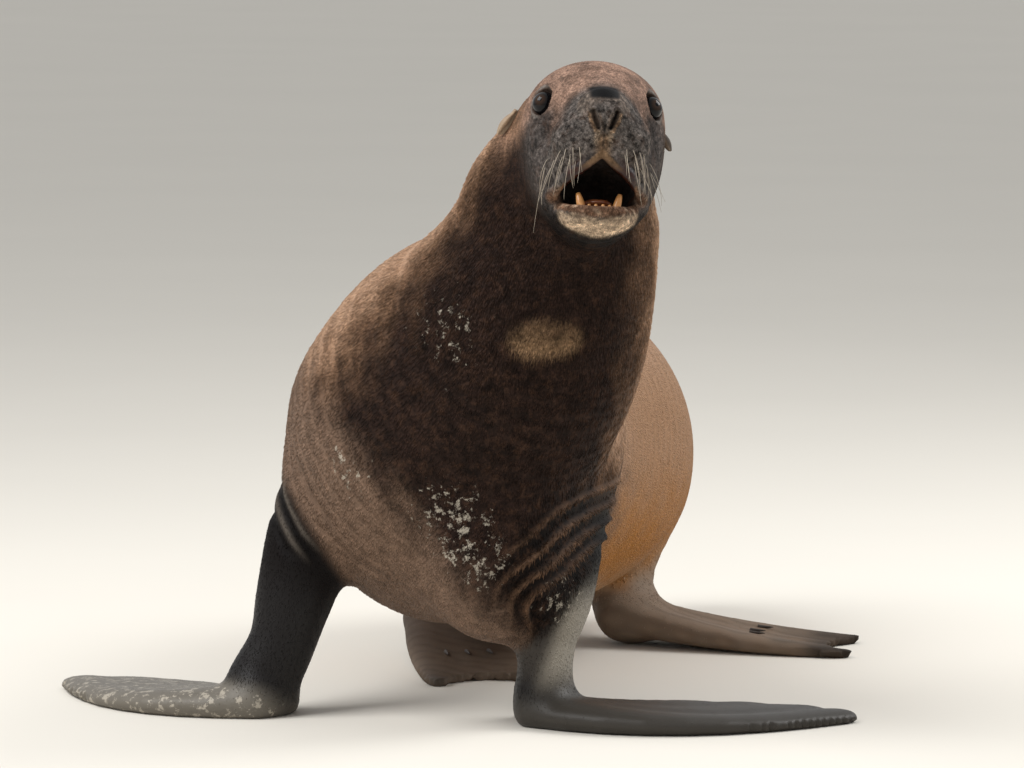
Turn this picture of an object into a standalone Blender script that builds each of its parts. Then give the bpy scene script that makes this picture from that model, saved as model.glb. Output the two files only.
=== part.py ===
"""Sea lion on all four flippers, head raised and mouth open.

A still, life-size model in metres, +Z up. The animal faces -Y and its left
side is +X. The origin is on the ground under the middle of its bounding box.

The flesh is one smooth field: a trunk and neck swept along the spine, a head
of merged ellipsoids, arms and shanks, and flat hands and feet made of
tapering digits with a web between them. Each flesh node is the skin of that
field inside its own region, so that neighbours part along one plane.
"""

import math

import bmesh
import bpy
import numpy as np
from mathutils import Matrix, Vector

# ---------------------------------------------------------------- dimensions
GAP = 0.0003                       # clearance between neighbouring solids
CM = 0.01                          # the head is laid out in centimetres

# Spine from the tail root to the crown.
# x, y, z, half width, height above the line, depth below it, half length
SPINE = (
    (0.120, 0.725, 0.190, 0.065, 0.060, 0.060, 0.07),
    (0.105, 0.625, 0.232, 0.135, 0.135, 0.130, 0.10),
    (0.080, 0.480, 0.300, 0.192, 0.200, 0.212, 0.14),
    (0.056, 0.300, 0.345, 0.228, 0.247, 0.262, 0.18),
    (0.022, 0.100, 0.362, 0.232, 0.250, 0.268, 0.20),
    (0.000, -0.080, 0.384, 0.236, 0.240, 0.274, 0.20),
    (0.000, -0.240, 0.415, 0.256, 0.210, 0.290, 0.17),
    (0.036, -0.350, 0.480, 0.246, 0.185, 0.272, 0.15),
    (0.128, -0.425, 0.570, 0.199, 0.165, 0.232, 0.11),
    (0.172, -0.465, 0.660, 0.178, 0.150, 0.195, 0.08),
    (0.200, -0.495, 0.740, 0.160, 0.138, 0.160, 0.07),
    (0.216, -0.520, 0.800, 0.147, 0.125, 0.135, 0.06),
    (0.240, -0.545, 0.860, 0.122, 0.110, 0.115, 0.05),
    (0.260, -0.565, 0.905, 0.101, 0.080, 0.100, 0.04),
)
WITHERS_CENTRE = (0.070, -0.260, 0.595)    # muscle between neck and back
WITHERS_RADII = (0.165, 0.300, 0.140)
KEEL_CENTRE = (0.105, -0.420, 0.275)       # breast between the arms
KEEL_RADII = (0.125, 0.175, 0.155)
# x, y, z, radius
TAIL = ((0.115, 0.680, 0.185, 0.050), (0.128, 0.765, 0.150, 0.022), (0.134, 0.805, 0.120, 0.010))

# Arms from the shoulder to the wrist, columns as for the spine.
ARMS = {
    "left": (
        (0.150, -0.240, 0.420, 0.110, 0.120, 0.120, 0.10),
        (0.174, -0.335, 0.290, 0.074, 0.105, 0.095, 0.09),
        (0.186, -0.380, 0.195, 0.056, 0.085, 0.080, 0.06),
        (0.174, -0.400, 0.120, 0.044, 0.070, 0.070, 0.05),
        (0.170, -0.410, 0.058, 0.042, 0.060, 0.058, 0.045),
    ),
    "right": (
        (-0.100, -0.250, 0.420, 0.120, 0.120, 0.120, 0.10),
        (-0.192, -0.335, 0.290, 0.074, 0.085, 0.085, 0.09),
        (-0.218, -0.375, 0.190, 0.064, 0.062, 0.062, 0.06),
        (-0.236, -0.395, 0.115, 0.054, 0.050, 0.050, 0.05),
        (-0.264, -0.405, 0.055, 0.054, 0.046, 0.046, 0.045),
    ),
}
# Shanks from the thigh to the ankle: x, y, z, radius
SHANKS = {
    "left": (
        (0.090, 0.540, 0.260, 0.110),
        (0.130, 0.510, 0.160, 0.075),
        (0.155, 0.450, 0.075, 0.046),
        (0.170, 0.425, 0.045, 0.036),
    ),
    "right": (
        (-0.030, 0.480, 0.260, 0.110),
        (-0.090, 0.430, 0.160, 0.075),
        (-0.125, 0.340, 0.075, 0.046),
        (-0.120, 0.300, 0.045, 0.036),
    ),
}
# Digits of a hand and of a foot, first digit first, laid out along +x:
# root, bend and tip (x, y), then half width and half thickness at root and tip.
HAND_DIGITS = (
    ((-0.010, -0.035), (0.200, -0.215), (0.462, 0.000), 0.032, 0.024, 0.024, 0.0085),
    ((0.000, -0.015), (0.200, -0.125), (0.420, 0.042), 0.030, 0.036, 0.022, 0.0070),
    ((0.000, 0.005), (0.170, -0.050), (0.350, 0.072), 0.029, 0.042, 0.020, 0.0065),
    ((0.000, 0.025), (0.130, 0.015), (0.270, 0.090), 0.028, 0.042, 0.018, 0.0065),
    ((-0.005, 0.040), (0.085, 0.065), (0.185, 0.098), 0.027, 0.036, 0.018, 0.0065),
)
FOOT_DIGITS = (
    ((0.000, -0.030), (0.170, -0.070), (0.385, -0.078), 0.026, 0.021, 0.026, 0.0080),
    ((0.000, -0.015), (0.160, -0.035), (0.350, -0.038), 0.022, 0.017, 0.026, 0.0075),
    ((0.000, 0.000), (0.155, 0.000), (0.340, 0.002), 0.021, 0.016, 0.026, 0.0075),
    ((0.000, 0.015), (0.160, 0.035), (0.348, 0.042), 0.022, 0.017, 0.026, 0.0075),
    ((0.000, 0.030), (0.165, 0.070), (0.372, 0.080), 0.025, 0.020, 0.026, 0.0080),
)
HAND_WEB, FOOT_WEB = 0.030, 0.022
SOLE = 0.80                        # share of a digit's half thickness above the ground
# Where a hand or foot starts, its heading in degrees, which way its fifth
# digit lies, its size, and how far its root is lifted.
BLADES = {
    "left_hand": ((0.170, -0.410), 10.0, 1, 0.975, 0.0),
    "right_hand": ((-0.270, -0.405), 150.0, -1, 0.84, 0.0),
    "left_foot": ((0.155, 0.425), -4.0, 1, 1.00, 0.030),
    "right_foot": ((-0.125, 0.300), -68.0, 1, 1.00, 0.030),
}
NAIL_DIGITS = (1, 2, 3)            # the three middle toes carry nails
NAIL_ALONG = 0.66                  # how far down the toe a nail lies
NAIL_LENGTH, NAIL_RADIUS, NAIL_TIP = 0.026, 0.0035, 0.0012

# Head frame: origin midway between the eyes, x to its left, y back, z up.
EYES_MIDDLE = Vector((0.291, -0.665, 0.953))
HEAD_YAW, HEAD_PITCH, HEAD_ROLL = math.radians(15), math.radians(18), math.radians(3)
EYE_PLACE, EYE_RADIUS = (7.7, -1.1, -0.8), 1.75
# Root and tip of each ear; the right one is laid back further, over the bend of the neck.
EARS = {
    "left_ear": ((10.2, 7.4, -2.2), (12.0, 9.0, -4.8)),
    "right_ear": ((-11.3, 10.6, 0.4), (-13.6, 12.6, -2.6)),
}
EAR_RADIUS, EAR_SQUASH = 0.95, 0.6
CANINE_PLACE, CANINE_LENGTH, CANINE_RADIUS = (2.6, -7.0, -16.8), 3.0, 0.62
CANINE_SUNK = 0.50                 # share of a canine below its place
INCISORS, INCISOR_STEP = 4, 0.95
INCISOR_PLACE, INCISOR_CURVE = (-8.0, -17.5), 0.12
INCISOR_LENGTH, INCISOR_RADIUS, INCISOR_TIP = 0.95, 0.34, 0.20
TONGUE_PLACE, TONGUE_RADII = (0.0, -1.6, -16.4), (2.9, 5.2, 1.1)

# Where the flesh nodes part. Each region is a box between two corners, in the
# frame named first, or a prism with an outline in x and z.
NAPE_PLACE, NAPE_TILT = (0.0, 0.10, -0.09), math.radians(69.6)
NECK_ROOT, NECK_ROOT_NORMAL = (0.150, -0.430, 0.620), (0.35, -0.45, 0.82)
WRIST_HEIGHT, ANKLE_HEIGHT = 0.070, 0.080
REGION_BOXES = {
    "head": ("nape", (-0.20, -0.16, 0.0), (0.20, 0.24, 0.42)),
    "lower_jaw": ("head", (-0.12, -0.16, -0.25), (0.12, 0.045, -0.152)),
    "neck": ("neck_root", (-0.32, -0.32, 0.0), (0.32, 0.32, 0.50)),
    "hips": ("ground", (-0.40, 0.300, -0.02), (0.55, 0.95, 0.80)),
    "tail": ("ground", (-0.05, 0.705, 0.00), (0.30, 0.90, 0.45)),
    "left_hand": ("ground", (0.08, -0.65, 0.0), (0.75, -0.18, WRIST_HEIGHT)),
    "right_hand": ("ground", (-0.80, -0.60, 0.0), (-0.17, 0.16, WRIST_HEIGHT)),
    "left_hind_flipper": ("ground", (0.09, 0.27, 0.0), (0.70, 0.62, ANKLE_HEIGHT)),
    "right_hind_flipper": ("ground", (-0.28, -0.16, 0.0), (0.085, 0.46, ANKLE_HEIGHT)),
}
REGION_PRISMS = {
    "left_arm": (((0.118, 0.128), (0.320, 0.430), (0.340, 0.060), (0.095, 0.060)), -0.56, -0.19),
    "right_arm": (((-0.115, 0.160), (-0.360, 0.450), (-0.420, 0.060), (-0.150, 0.060)), -0.56, -0.16),
}
BODY_LOW, BODY_HIGH = np.array((-0.72, -0.92, -0.01)), np.array((0.74, 0.88, 1.06))
TRUNK_REACH = ((-0.45, -0.75, 0.02), (0.50, 0.42, 0.80))


# ---------------------------------------------------------------- field
def unit(vector):
    vector = np.asarray(vector, float)
    return vector / np.linalg.norm(vector)


def blend(a, b, reach):
    """Smaller of two fields, rounded where they are within reach of each other."""
    near = np.maximum(reach - np.abs(a - b), 0.0)
    return np.minimum(a, b) - near * near / (4.0 * reach)


def carve(a, b, reach):
    """Field a without field b, its rim rounded."""
    return -blend(-a, b, reach)


def smooth_rows(rows, steps):
    """Rows along a Catmull-Rom curve through the given rows."""
    rows = np.asarray(rows, float)
    padded = np.vstack([2 * rows[0] - rows[1], rows, 2 * rows[-1] - rows[-2]])
    t = (np.arange(steps) / steps)[:, None]
    pieces = []
    for a, b, c, d in zip(padded[:-3], padded[1:-2], padded[2:-1], padded[3:]):
        cubic = (3 * b - a - 3 * c + d) * t**3 + (2 * a - 5 * b + 4 * c - d) * t**2
        pieces.append(b + 0.5 * (cubic + (c - a) * t))
    return np.vstack(pieces + [rows[-1:]])


def ellipsoid_distance(offsets, radii):
    """Near distance to an ellipsoid; each radius is a number or one per point."""
    k0 = np.sqrt(sum((offset / radius) ** 2 for offset, radius in zip(offsets, radii)))
    k1 = np.sqrt(sum((offset / radius**2) ** 2 for offset, radius in zip(offsets, radii)))
    return k0 * (k0 - 1.0) / (k1 + 1e-12)


def ellipsoid(points, centre, radii):
    return ellipsoid_distance((points - np.asarray(centre, float)).T, radii)


def sweep(points, rows, steps=8):
    """Ellipsoids strung along a line; their side axis stays as near +X as it can."""
    rows = smooth_rows(rows, steps)
    along = np.gradient(rows[:, :3], axis=0)
    nearest = np.full(len(points), np.inf)
    for row, direction in zip(rows, along):
        direction = unit(direction)
        side = unit(np.array((1.0, 0.0, 0.0)) - direction * direction[0])
        top = np.cross(direction, side)
        away = points - row[:3]
        height = away @ top
        radii = (row[3], np.where(height > 0, row[4], row[5]), row[6])
        nearest = np.minimum(nearest, ellipsoid_distance((away @ side, height, away @ direction), radii))
    return nearest


def chain(points, rows, steps=4):
    """Tapered rods end to end: rows of x, y, z, radius."""
    rows = smooth_rows(rows, steps)
    nearest = np.full(len(points), np.inf)
    for start, end in zip(rows[:-1], rows[1:]):
        run = end[:3] - start[:3]
        t = np.clip((points - start[:3]) @ run / (run @ run), 0, 1)
        away = np.linalg.norm(points - start[:3] - t[:, None] * run, axis=1)
        nearest = np.minimum(nearest, away - (start[3] + (end[3] - start[3]) * t))
    return nearest


def head_axes():
    """Rows are the head's left, back and up directions."""
    level = math.cos(HEAD_PITCH)
    front = np.array((math.sin(HEAD_YAW) * level, -math.cos(HEAD_YAW) * level, math.sin(HEAD_PITCH)))
    left = unit(np.cross((0.0, 0.0, 1.0), front))
    top = np.cross(front, left)
    c, s = math.cos(HEAD_ROLL), math.sin(HEAD_ROLL)
    return np.array((left * c - top * s, -front, top * c + left * s))


def head_field(points):
    """Skull, muzzle, lips and jaw around the open mouth, in the head frame."""
    q = (points - np.array(EYES_MIDDLE)) @ head_axes().T / CM
    m = np.column_stack((np.abs(q[:, 0]), q[:, 1:]))
    skull = ellipsoid(m, (0, 5.5, -2.2), (10.4, 12.0, 9.4))
    bridge = sweep(m, (
        (0, 2.0, -1.2, 8.6, 6.2, 6.2, 7.4),
        (0, -4.0, -2.4, 6.4, 5.2, 5.2, 5.8),
        (0, -8.0, -4.0, 4.9, 4.4, 4.4, 4.7),
        (0, -10.6, -4.8, 4.0, 4.0, 4.0, 4.0),
    ))
    head = blend(skull, bridge, 4.0)
    head = blend(head, ellipsoid(m, (3.3, -8.2, -7.8), (4.0, 4.4, 4.4)), 2.0)      # whisker pads
    head = blend(head, ellipsoid(m, (5.9, 3.5, -8.4), (4.3, 7.5, 6.6)), 3.5)       # cheeks
    head = blend(head, ellipsoid(m, (5.0, -3.0, -10.8), (2.8, 5.0, 3.6)), 2.0)     # sides of the mouth
    jaw = chain(m, (
        (5.0, 4.0, -13.6, 2.8),
        (4.9, -1.0, -16.6, 2.2),
        (4.1, -5.0, -17.9, 1.8),
        (2.2, -7.2, -18.3, 1.7),
        (0.0, -7.8, -18.4, 1.7),
    ))
    jaw = blend(jaw, ellipsoid(m, (0, 4.5, -14.5), (6.6, 8.0, 6.4)), 3.0)          # throat
    jaw = blend(jaw, ellipsoid(m, (0, -2.6, -18.8), (5.0, 4.6, 2.9)), 2.0)         # chin
    head = blend(head, jaw, 2.4)
    mouth = ellipsoid(m, (0, -5.0, -13.4), (5.5, 9.5, 4.3))
    mouth = blend(mouth, ellipsoid(m, (0, -7.0, -11.4), (3.2, 6.5, 2.0)), 1.0)     # under the palate
    head = carve(head, mouth, 0.7)
    lip = chain(m, (
        (0.0, -10.8, -9.8, 1.0),
        (2.6, -9.9, -11.1, 1.0),
        (5.2, -7.6, -13.2, 1.0),
        (6.4, -4.4, -14.8, 1.2),
        (6.5, -1.0, -15.6, 1.6),
    ))
    head = blend(head, lip, 1.0)
    head = blend(head, ellipsoid(m, (0, -11.7, -3.9), (3.2, 1.9, 3.0)), 0.9)       # nose pad
    nostril = chain(m, ((1.72, -14.3, -4.9, 0.36), (1.33, -14.3, -6.0, 0.36), (0.85, -13.8, -7.1, 0.28)))
    head = carve(head, nostril, 0.25)
    socket = ellipsoid(m, (8.2, -2.0, -0.7), (1.9, 1.9, 2.0))
    return carve(head, socket, 0.8) * CM


def digit_line(digit, steps=8):
    """Points of a digit's middle line, a quadratic curve from root over bend to tip."""
    root, bend, tip = (np.array(end) for end in digit[:3])
    t = np.linspace(0, 1, steps + 1)[:, None]
    return (1 - t) ** 2 * root + 2 * t * (1 - t) * bend + t * t * tip


def blade_field(points, blade, digits, web):
    """Flat hand or foot: tapering digits side by side, with a web between."""
    (x0, y0), heading, mirror, size, lift = blade
    c, s = math.cos(math.radians(heading)), math.sin(math.radians(heading))
    away_x, away_y = points[:, 0] - x0, points[:, 1] - y0
    flat = np.column_stack((away_x * c + away_y * s, (away_y * c - away_x * s) * mirror))
    hand = np.full(len(points), np.inf)
    for digit in digits:
        width_root, width_tip, thick_root, thick_tip = digit[3:]
        line = digit_line(digit) * size
        steps = len(line) - 1
        nearest = np.full(len(points), np.inf)
        for i, (start, end) in enumerate(zip(line[:-1], line[1:])):
            run = end - start
            t = np.clip((flat - start) @ run / (run @ run), 0, 1)
            along = (i + t) / steps
            width = width_root + (width_tip - width_root) * along
            thick = thick_root + (thick_tip - thick_root) * along
            aside = np.linalg.norm(flat - start - t[:, None] * run, axis=1)
            above = points[:, 2] - thick * SOLE - lift * (1 - along) ** 2
            nearest = np.minimum(nearest, ellipsoid_distance((aside, above), (width, thick)))
        hand = nearest if np.isinf(hand).all() else blend(hand, nearest, web)
    return hand


def body_field(points):
    """Signed distance, near enough, to the whole animal's skin."""
    body = sweep(points, SPINE)
    body = blend(body, ellipsoid(points, WITHERS_CENTRE, WITHERS_RADII), 0.12)
    body = blend(body, ellipsoid(points, KEEL_CENTRE, KEEL_RADII), 0.07)
    body = blend(body, chain(points, TAIL), 0.03)
    body = blend(body, head_field(points), 0.045)
    for rows in ARMS.values():
        body = blend(body, sweep(points, rows), 0.045)
    for name, blade in BLADES.items():
        hand = name.endswith("hand")
        digits, web = (HAND_DIGITS, HAND_WEB) if hand else (FOOT_DIGITS, FOOT_WEB)
        body = blend(body, blade_field(points, blade, digits, web), 0.035 if hand else 0.030)
    for rows in SHANKS.values():
        body = blend(body, chain(points, rows), 0.05)
    return body


# ---------------------------------------------------------------- meshes
def surface_net(low, high, cell):
    """Closed quad mesh of the field's zero level inside a box.

    Every grid cell that the surface crosses gets one vertex, the mean of the
    crossings on its edges, and every crossed edge gets the quad of the four
    cells around it.
    """
    low = np.asarray(low, float)
    count = np.ceil((np.asarray(high) - low) / cell).astype(int) + 3
    grid = np.stack(np.meshgrid(*(np.arange(n) for n in count), indexing="ij"), -1)
    points = low + (grid.reshape(-1, 3) - 1) * cell
    value = np.concatenate([body_field(block) for block in np.array_split(points, 1 + len(points) // 200000)])
    value = value.reshape(count)
    for axis in range(3):
        border = np.moveaxis(value, axis, 0)
        border[0] = border[-1] = np.maximum(border[0], 1.0)
    owners, crossings, quads = [], [], []
    for axis in range(3):
        step = np.eye(3, dtype=int)[axis]
        near, far = np.roll(np.eye(3, dtype=int), -axis, 0)[1:]
        first = np.delete(value, -1, axis)
        second = np.delete(value, 0, axis)
        edges = np.argwhere((first < 0) != (second < 0))
        a, b = first[tuple(edges.T)], second[tuple(edges.T)]
        ring = edges[:, None, :] - np.array((0 * near, near, near + far, far))
        ring = np.ravel_multi_index(np.moveaxis(ring, -1, 0), count)
        quads.append(np.where((a < 0)[:, None], ring, ring[:, ::-1]))
        owners.append(ring.ravel())
        crossings.append(np.repeat(edges + step * (a / (a - b))[:, None], 4, 0))
    used, place = np.unique(np.concatenate(owners), return_inverse=True)
    crossings = np.concatenate(crossings)
    total = np.stack([np.bincount(place, crossings[:, i]) for i in range(3)], 1)
    vertices = low + (total / np.bincount(place)[:, None] - 1) * cell
    return vertices, np.searchsorted(used, np.concatenate(quads))


def settle(points, reach, rounds=2, step=1e-4):
    """Points nearer than reach moved along the field's slope onto its zero level."""
    value = body_field(points)
    near = np.abs(value) < reach
    moved = points[near]
    for _ in range(rounds):
        value = body_field(moved)
        slope = np.stack([body_field(moved + step * axis) - value for axis in np.eye(3)], 1) / step
        shift = slope * (value / np.maximum((slope**2).sum(1), 0.25))[:, None]
        moved = moved - np.clip(shift, -reach, reach)
    points[near] = moved
    return points


def mesh_object(name, mesh, collection):
    item = bpy.data.objects.new(name, mesh)
    collection.objects.link(item)
    return item


def apply_modifiers(item):
    """The object's evaluated mesh takes the place of its own mesh."""
    evaluated = item.evaluated_get(bpy.context.evaluated_depsgraph_get())
    mesh = bpy.data.meshes.new_from_object(evaluated)
    item.modifiers.clear()
    item.data = mesh


def boolean(item, cutter, operation):
    modifier = item.modifiers.new(operation.title(), "BOOLEAN")
    modifier.operation = operation
    modifier.solver = "EXACT"
    modifier.object = cutter
    apply_modifiers(item)


def keep_largest(item):
    """Crumbs that a cut leaves beside the piece are dropped."""
    bm = bmesh.new()
    bm.from_mesh(item.data)
    left, islands = set(bm.verts), []
    while left:
        island, stack = set(), [left.pop()]
        while stack:
            vertex = stack.pop()
            island.add(vertex)
            linked = {edge.other_vert(vertex) for edge in vertex.link_edges} & left
            left -= linked
            stack.extend(linked)
        islands.append(island)
    islands.sort(key=len)
    for island in islands[:-1]:
        bmesh.ops.delete(bm, geom=list(island), context="VERTS")
    bm.to_mesh(item.data)
    bm.free()


def skin(name, low, high, cell, faces, parts):
    """Object with the field's surface inside a box, thinned to about so many triangles."""
    vertices, quads = surface_net(low, high, cell)
    mesh = bpy.data.meshes.new(name)
    mesh.from_pydata(vertices.tolist(), [], quads.tolist())
    item = mesh_object(name, mesh, parts)
    close = item.modifiers.new("Close", "REMESH")
    close.mode = "VOXEL"
    close.voxel_size = cell
    apply_modifiers(item)
    vertices = np.empty(3 * len(item.data.vertices))
    item.data.vertices.foreach_get("co", vertices)
    item.data.vertices.foreach_set("co", settle(vertices.reshape(-1, 3), cell / 2).ravel())
    thin = item.modifiers.new("Thin", "DECIMATE")
    thin.ratio = min(1.0, faces / (2 * len(item.data.polygons)))
    thin.use_collapse_triangulate = True
    apply_modifiers(item)
    return item


def primitive(name, collection, matrix, make, **options):
    """Mesh object from a bmesh.ops.create_... primitive, placed by a matrix."""
    bm = bmesh.new()
    make(bm, **options)
    bmesh.ops.transform(bm, matrix=matrix, verts=bm.verts)
    bmesh.ops.recalc_face_normals(bm, faces=bm.faces)
    mesh = bpy.data.meshes.new(name)
    bm.to_mesh(mesh)
    bm.free()
    return mesh_object(name, mesh, collection)


def grown(item, amount, collection):
    """Copy of an object, every vertex moved out along its normal."""
    mesh = item.data.copy()
    normals = np.array([vertex.normal[:] for vertex in mesh.vertices])
    points = np.array([vertex.co[:] for vertex in mesh.vertices]) + normals * amount
    mesh.vertices.foreach_set("co", points.ravel())
    return mesh_object("grown_" + item.name, mesh, collection)


def head_matrix():
    """Head frame to world, without its centimetre scale."""
    turn = Matrix(head_axes().T.tolist()).to_4x4()
    return Matrix.Translation(EYES_MIDDLE) @ turn


# ---------------------------------------------------------------- colours
MATERIALS = {
    "brown_fur": ((0.075, 0.040, 0.026), 0.62),
    "dark_fur": ((0.030, 0.020, 0.018), 0.60),
    "golden_fur": ((0.200, 0.105, 0.050), 0.62),
    "bare_skin": ((0.022, 0.018, 0.017), 0.42),
    "pale_chin": ((0.300, 0.240, 0.170), 0.65),
    "eye": ((0.012, 0.008, 0.007), 0.08),
    "tongue": ((0.160, 0.035, 0.025), 0.35),
    "tooth": ((0.620, 0.330, 0.120), 0.35),
    "nail": ((0.050, 0.040, 0.035), 0.40),
}


def material(name):
    found = bpy.data.materials.get(name)
    if found:
        return found
    colour, roughness = MATERIALS[name]
    made = bpy.data.materials.new(name)
    made.use_nodes = True
    shader = made.node_tree.nodes["Principled BSDF"]
    shader.inputs["Base Color"].default_value = (*colour, 1.0)
    shader.inputs["Roughness"].default_value = roughness
    made.diffuse_color = (*colour, 1.0)
    return made


def dress(item, material_name):
    item.data.materials.clear()
    item.data.materials.append(material(material_name))
    item.data.shade_smooth()


# ---------------------------------------------------------------- regions
def guide(item):
    """A region only cuts: it isn't rendered."""
    item.hide_render = True
    item.display_type = "WIRE"
    return item


def pointing(origin, direction, roll_axis="X"):
    """Frame at a place with its z axis along a direction."""
    return Matrix.Translation(origin) @ Vector(direction).to_track_quat("Z", roll_axis).to_matrix().to_4x4()


def box(name, frame, low, high, cutters):
    """Region between two corners, given in a frame."""
    low, high = Vector(low), Vector(high)
    matrix = frame @ Matrix.Translation((low + high) / 2) @ Matrix.Diagonal(high - low).to_4x4()
    return guide(primitive(name, cutters, matrix, bmesh.ops.create_cube, size=1.0))


def prism(name, outline, y_low, y_high, cutters):
    """Region with a convex outline in x and z, carried from y_low to y_high."""
    bm = bmesh.new()
    for y in (y_low, y_high):
        for x, z in outline:
            bm.verts.new((x, y, z))
    bmesh.ops.convex_hull(bm, input=bm.verts)
    bmesh.ops.recalc_face_normals(bm, faces=bm.faces)
    mesh = bpy.data.meshes.new(name)
    bm.to_mesh(mesh)
    bm.free()
    return guide(mesh_object(name, mesh, cutters))


def regions(cutters):
    """One region for each flesh node but the trunk, which is what is left."""
    frames = {
        "ground": Matrix.Identity(4),
        "head": head_matrix(),
        "nape": head_matrix() @ Matrix.Translation(NAPE_PLACE) @ Matrix.Rotation(NAPE_TILT, 4, "X"),
        "neck_root": pointing(NECK_ROOT, NECK_ROOT_NORMAL),
    }
    made = {}
    for name, (frame, low, high) in REGION_BOXES.items():
        made[name] = box("cut_" + name, frames[frame], low, high, cutters)
    for name, (outline, y_low, y_high) in REGION_PRISMS.items():
        made[name] = prism("cut_" + name, outline, y_low, y_high, cutters)
    return made


# Flesh nodes: grid step, triangles asked for, material, regions cut away.
FLESH = {
    "head": (0.0060, 2500, "dark_fur", ("lower_jaw",)),
    "lower_jaw": (0.0060, 900, "pale_chin", ()),
    "neck": (0.014, 900, "dark_fur", ("head",)),
    "trunk": (0.018, 2000, "brown_fur", ("neck", "hips", "left_arm", "right_arm", "left_hand",
                                         "right_hand", "left_hind_flipper", "right_hind_flipper")),
    "hips": (0.016, 900, "golden_fur", ("tail", "left_hind_flipper", "right_hind_flipper")),
    "tail": (0.008, 240, "bare_skin", ()),
    "left_arm": (0.010, 900, "bare_skin", ("left_hand",)),
    "right_arm": (0.010, 900, "bare_skin", ("right_hand",)),
    "left_hand": (0.006, 520, "bare_skin", ()),
    "right_hand": (0.006, 480, "bare_skin", ()),
    "left_hind_flipper": (0.006, 520, "bare_skin", ()),
    "right_hind_flipper": (0.006, 620, "bare_skin", ()),
}


def flesh(cutters, parts):
    """Every flesh node: the field's skin near its region, cut to that region."""
    places = regions(cutters)
    wide = {name: guide(grown(place, GAP * math.sqrt(3), cutters)) for name, place in places.items()}
    made = {}
    for name, (cell, faces, material_name, away) in FLESH.items():
        if name in places:
            corners = np.array([corner.co[:] for corner in places[name].data.vertices])
            low, high = corners.min(0), corners.max(0)
        else:
            low, high = TRUNK_REACH
        low = np.maximum(low, BODY_LOW) - 2 * cell
        high = np.minimum(high, BODY_HIGH) + 2 * cell
        item = skin(name, low, high, cell, faces, parts)
        if name in places:
            boolean(item, places[name], "INTERSECT")
        if name == "lower_jaw":
            boolean(item, places["head"], "INTERSECT")    # the jaw ends at the nape with the head
        for other in away:
            boolean(item, wide[other], "DIFFERENCE")
        keep_largest(item)
        dress(item, material_name)
        made[name] = item
    return made


# ---------------------------------------------------------------- small pieces
def seat(item, hosts, cutters):
    """Pocket for a piece in each host, a gap wider than the piece."""
    cutter = guide(grown(item, GAP, cutters))
    for host in hosts:
        boolean(host, cutter, "DIFFERENCE")
        keep_largest(host)


def head_point(x, y, z):
    return head_matrix() @ (Vector((x, y, z)) * CM)


def eye(side, parts):
    x, y, z = EYE_PLACE
    place = Matrix.Translation(head_point(x * side, y, z))
    item = primitive("left_eye" if side > 0 else "right_eye", parts, place, bmesh.ops.create_uvsphere,
                     u_segments=14, v_segments=8, radius=EYE_RADIUS * CM)
    dress(item, "eye")
    return item


def tapered(name, parts, frame, length, radius, tip, segments, squash=1.0):
    """Blunt cone from the frame's origin along its z, squashed in its x."""
    bm = bmesh.new()
    rings = 5
    sections = []
    for i in range(rings + 1):
        t = i / rings
        reach = (radius + (tip - radius) * t) * math.sqrt(max(1 - t**6, 0.12))
        ring = []
        for j in range(segments):
            a = 2 * math.pi * j / segments
            ring.append(bm.verts.new((reach * squash * math.cos(a), reach * math.sin(a), length * t)))
        sections.append(ring)
    for lower, upper in zip(sections[:-1], sections[1:]):
        for j in range(segments):
            k = (j + 1) % segments
            bm.faces.new((lower[j], lower[k], upper[k], upper[j]))
    bm.faces.new(sections[0][::-1])
    bm.faces.new(sections[-1])
    bmesh.ops.transform(bm, matrix=frame, verts=bm.verts)
    bmesh.ops.recalc_face_normals(bm, faces=bm.faces)
    mesh = bpy.data.meshes.new(name)
    bm.to_mesh(mesh)
    bm.free()
    return mesh_object(name, mesh, parts)


def ear(name, parts):
    """Small furled ear, pointing back, out and down."""
    root, tip = (head_point(*end) for end in EARS[name])
    item = tapered(name, parts, pointing(root, tip - root), (tip - root).length,
                   EAR_RADIUS * CM, 0.3 * CM, 12, squash=EAR_SQUASH)
    dress(item, "brown_fur")
    return item


def canine(side, parts):
    x, y, z = CANINE_PLACE
    up = head_matrix().to_3x3() @ Vector((side * 0.18, -0.05, 1.0))
    frame = pointing(head_point(x * side, y, z) - up * CANINE_LENGTH * CM * CANINE_SUNK, up)
    item = tapered("left_canine" if side > 0 else "right_canine", parts, frame, CANINE_LENGTH * CM,
                   CANINE_RADIUS * CM, 0.16 * CM, 12)
    dress(item, "tooth")
    return item


def incisors(jaw, cutters):
    """Row of small teeth, grown into the jaw."""
    up = head_matrix().to_3x3() @ Vector((0, -0.1, 1.0))
    y, z = INCISOR_PLACE
    for i in range(INCISORS):
        across = (i - (INCISORS - 1) / 2) * INCISOR_STEP
        frame = pointing(head_point(across, y + INCISOR_CURVE * across**2, z), up)
        tooth = tapered("tooth", cutters, frame, INCISOR_LENGTH * CM,
                        INCISOR_RADIUS * CM, INCISOR_TIP * CM, 8)
        boolean(jaw, tooth, "UNION")
        bpy.data.objects.remove(tooth)


def tongue(parts):
    """Ellipsoid on the floor of the mouth."""
    place = head_matrix() @ Matrix.Translation(Vector(TONGUE_PLACE) * CM)
    place = place @ Matrix.Diagonal(Vector(TONGUE_RADII) * CM).to_4x4()
    item = primitive("tongue", parts, place, bmesh.ops.create_uvsphere,
                     u_segments=14, v_segments=7, radius=1.0)
    dress(item, "tongue")
    return item


def top_of_skin(x, y):
    """Height of the hind flipper's upper side at a place."""
    heights = np.linspace(0.0, ANKLE_HEIGHT, 321)
    points = np.column_stack((np.full_like(heights, x), np.full_like(heights, y), heights))
    return heights[body_field(points) < 0].max()


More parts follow.
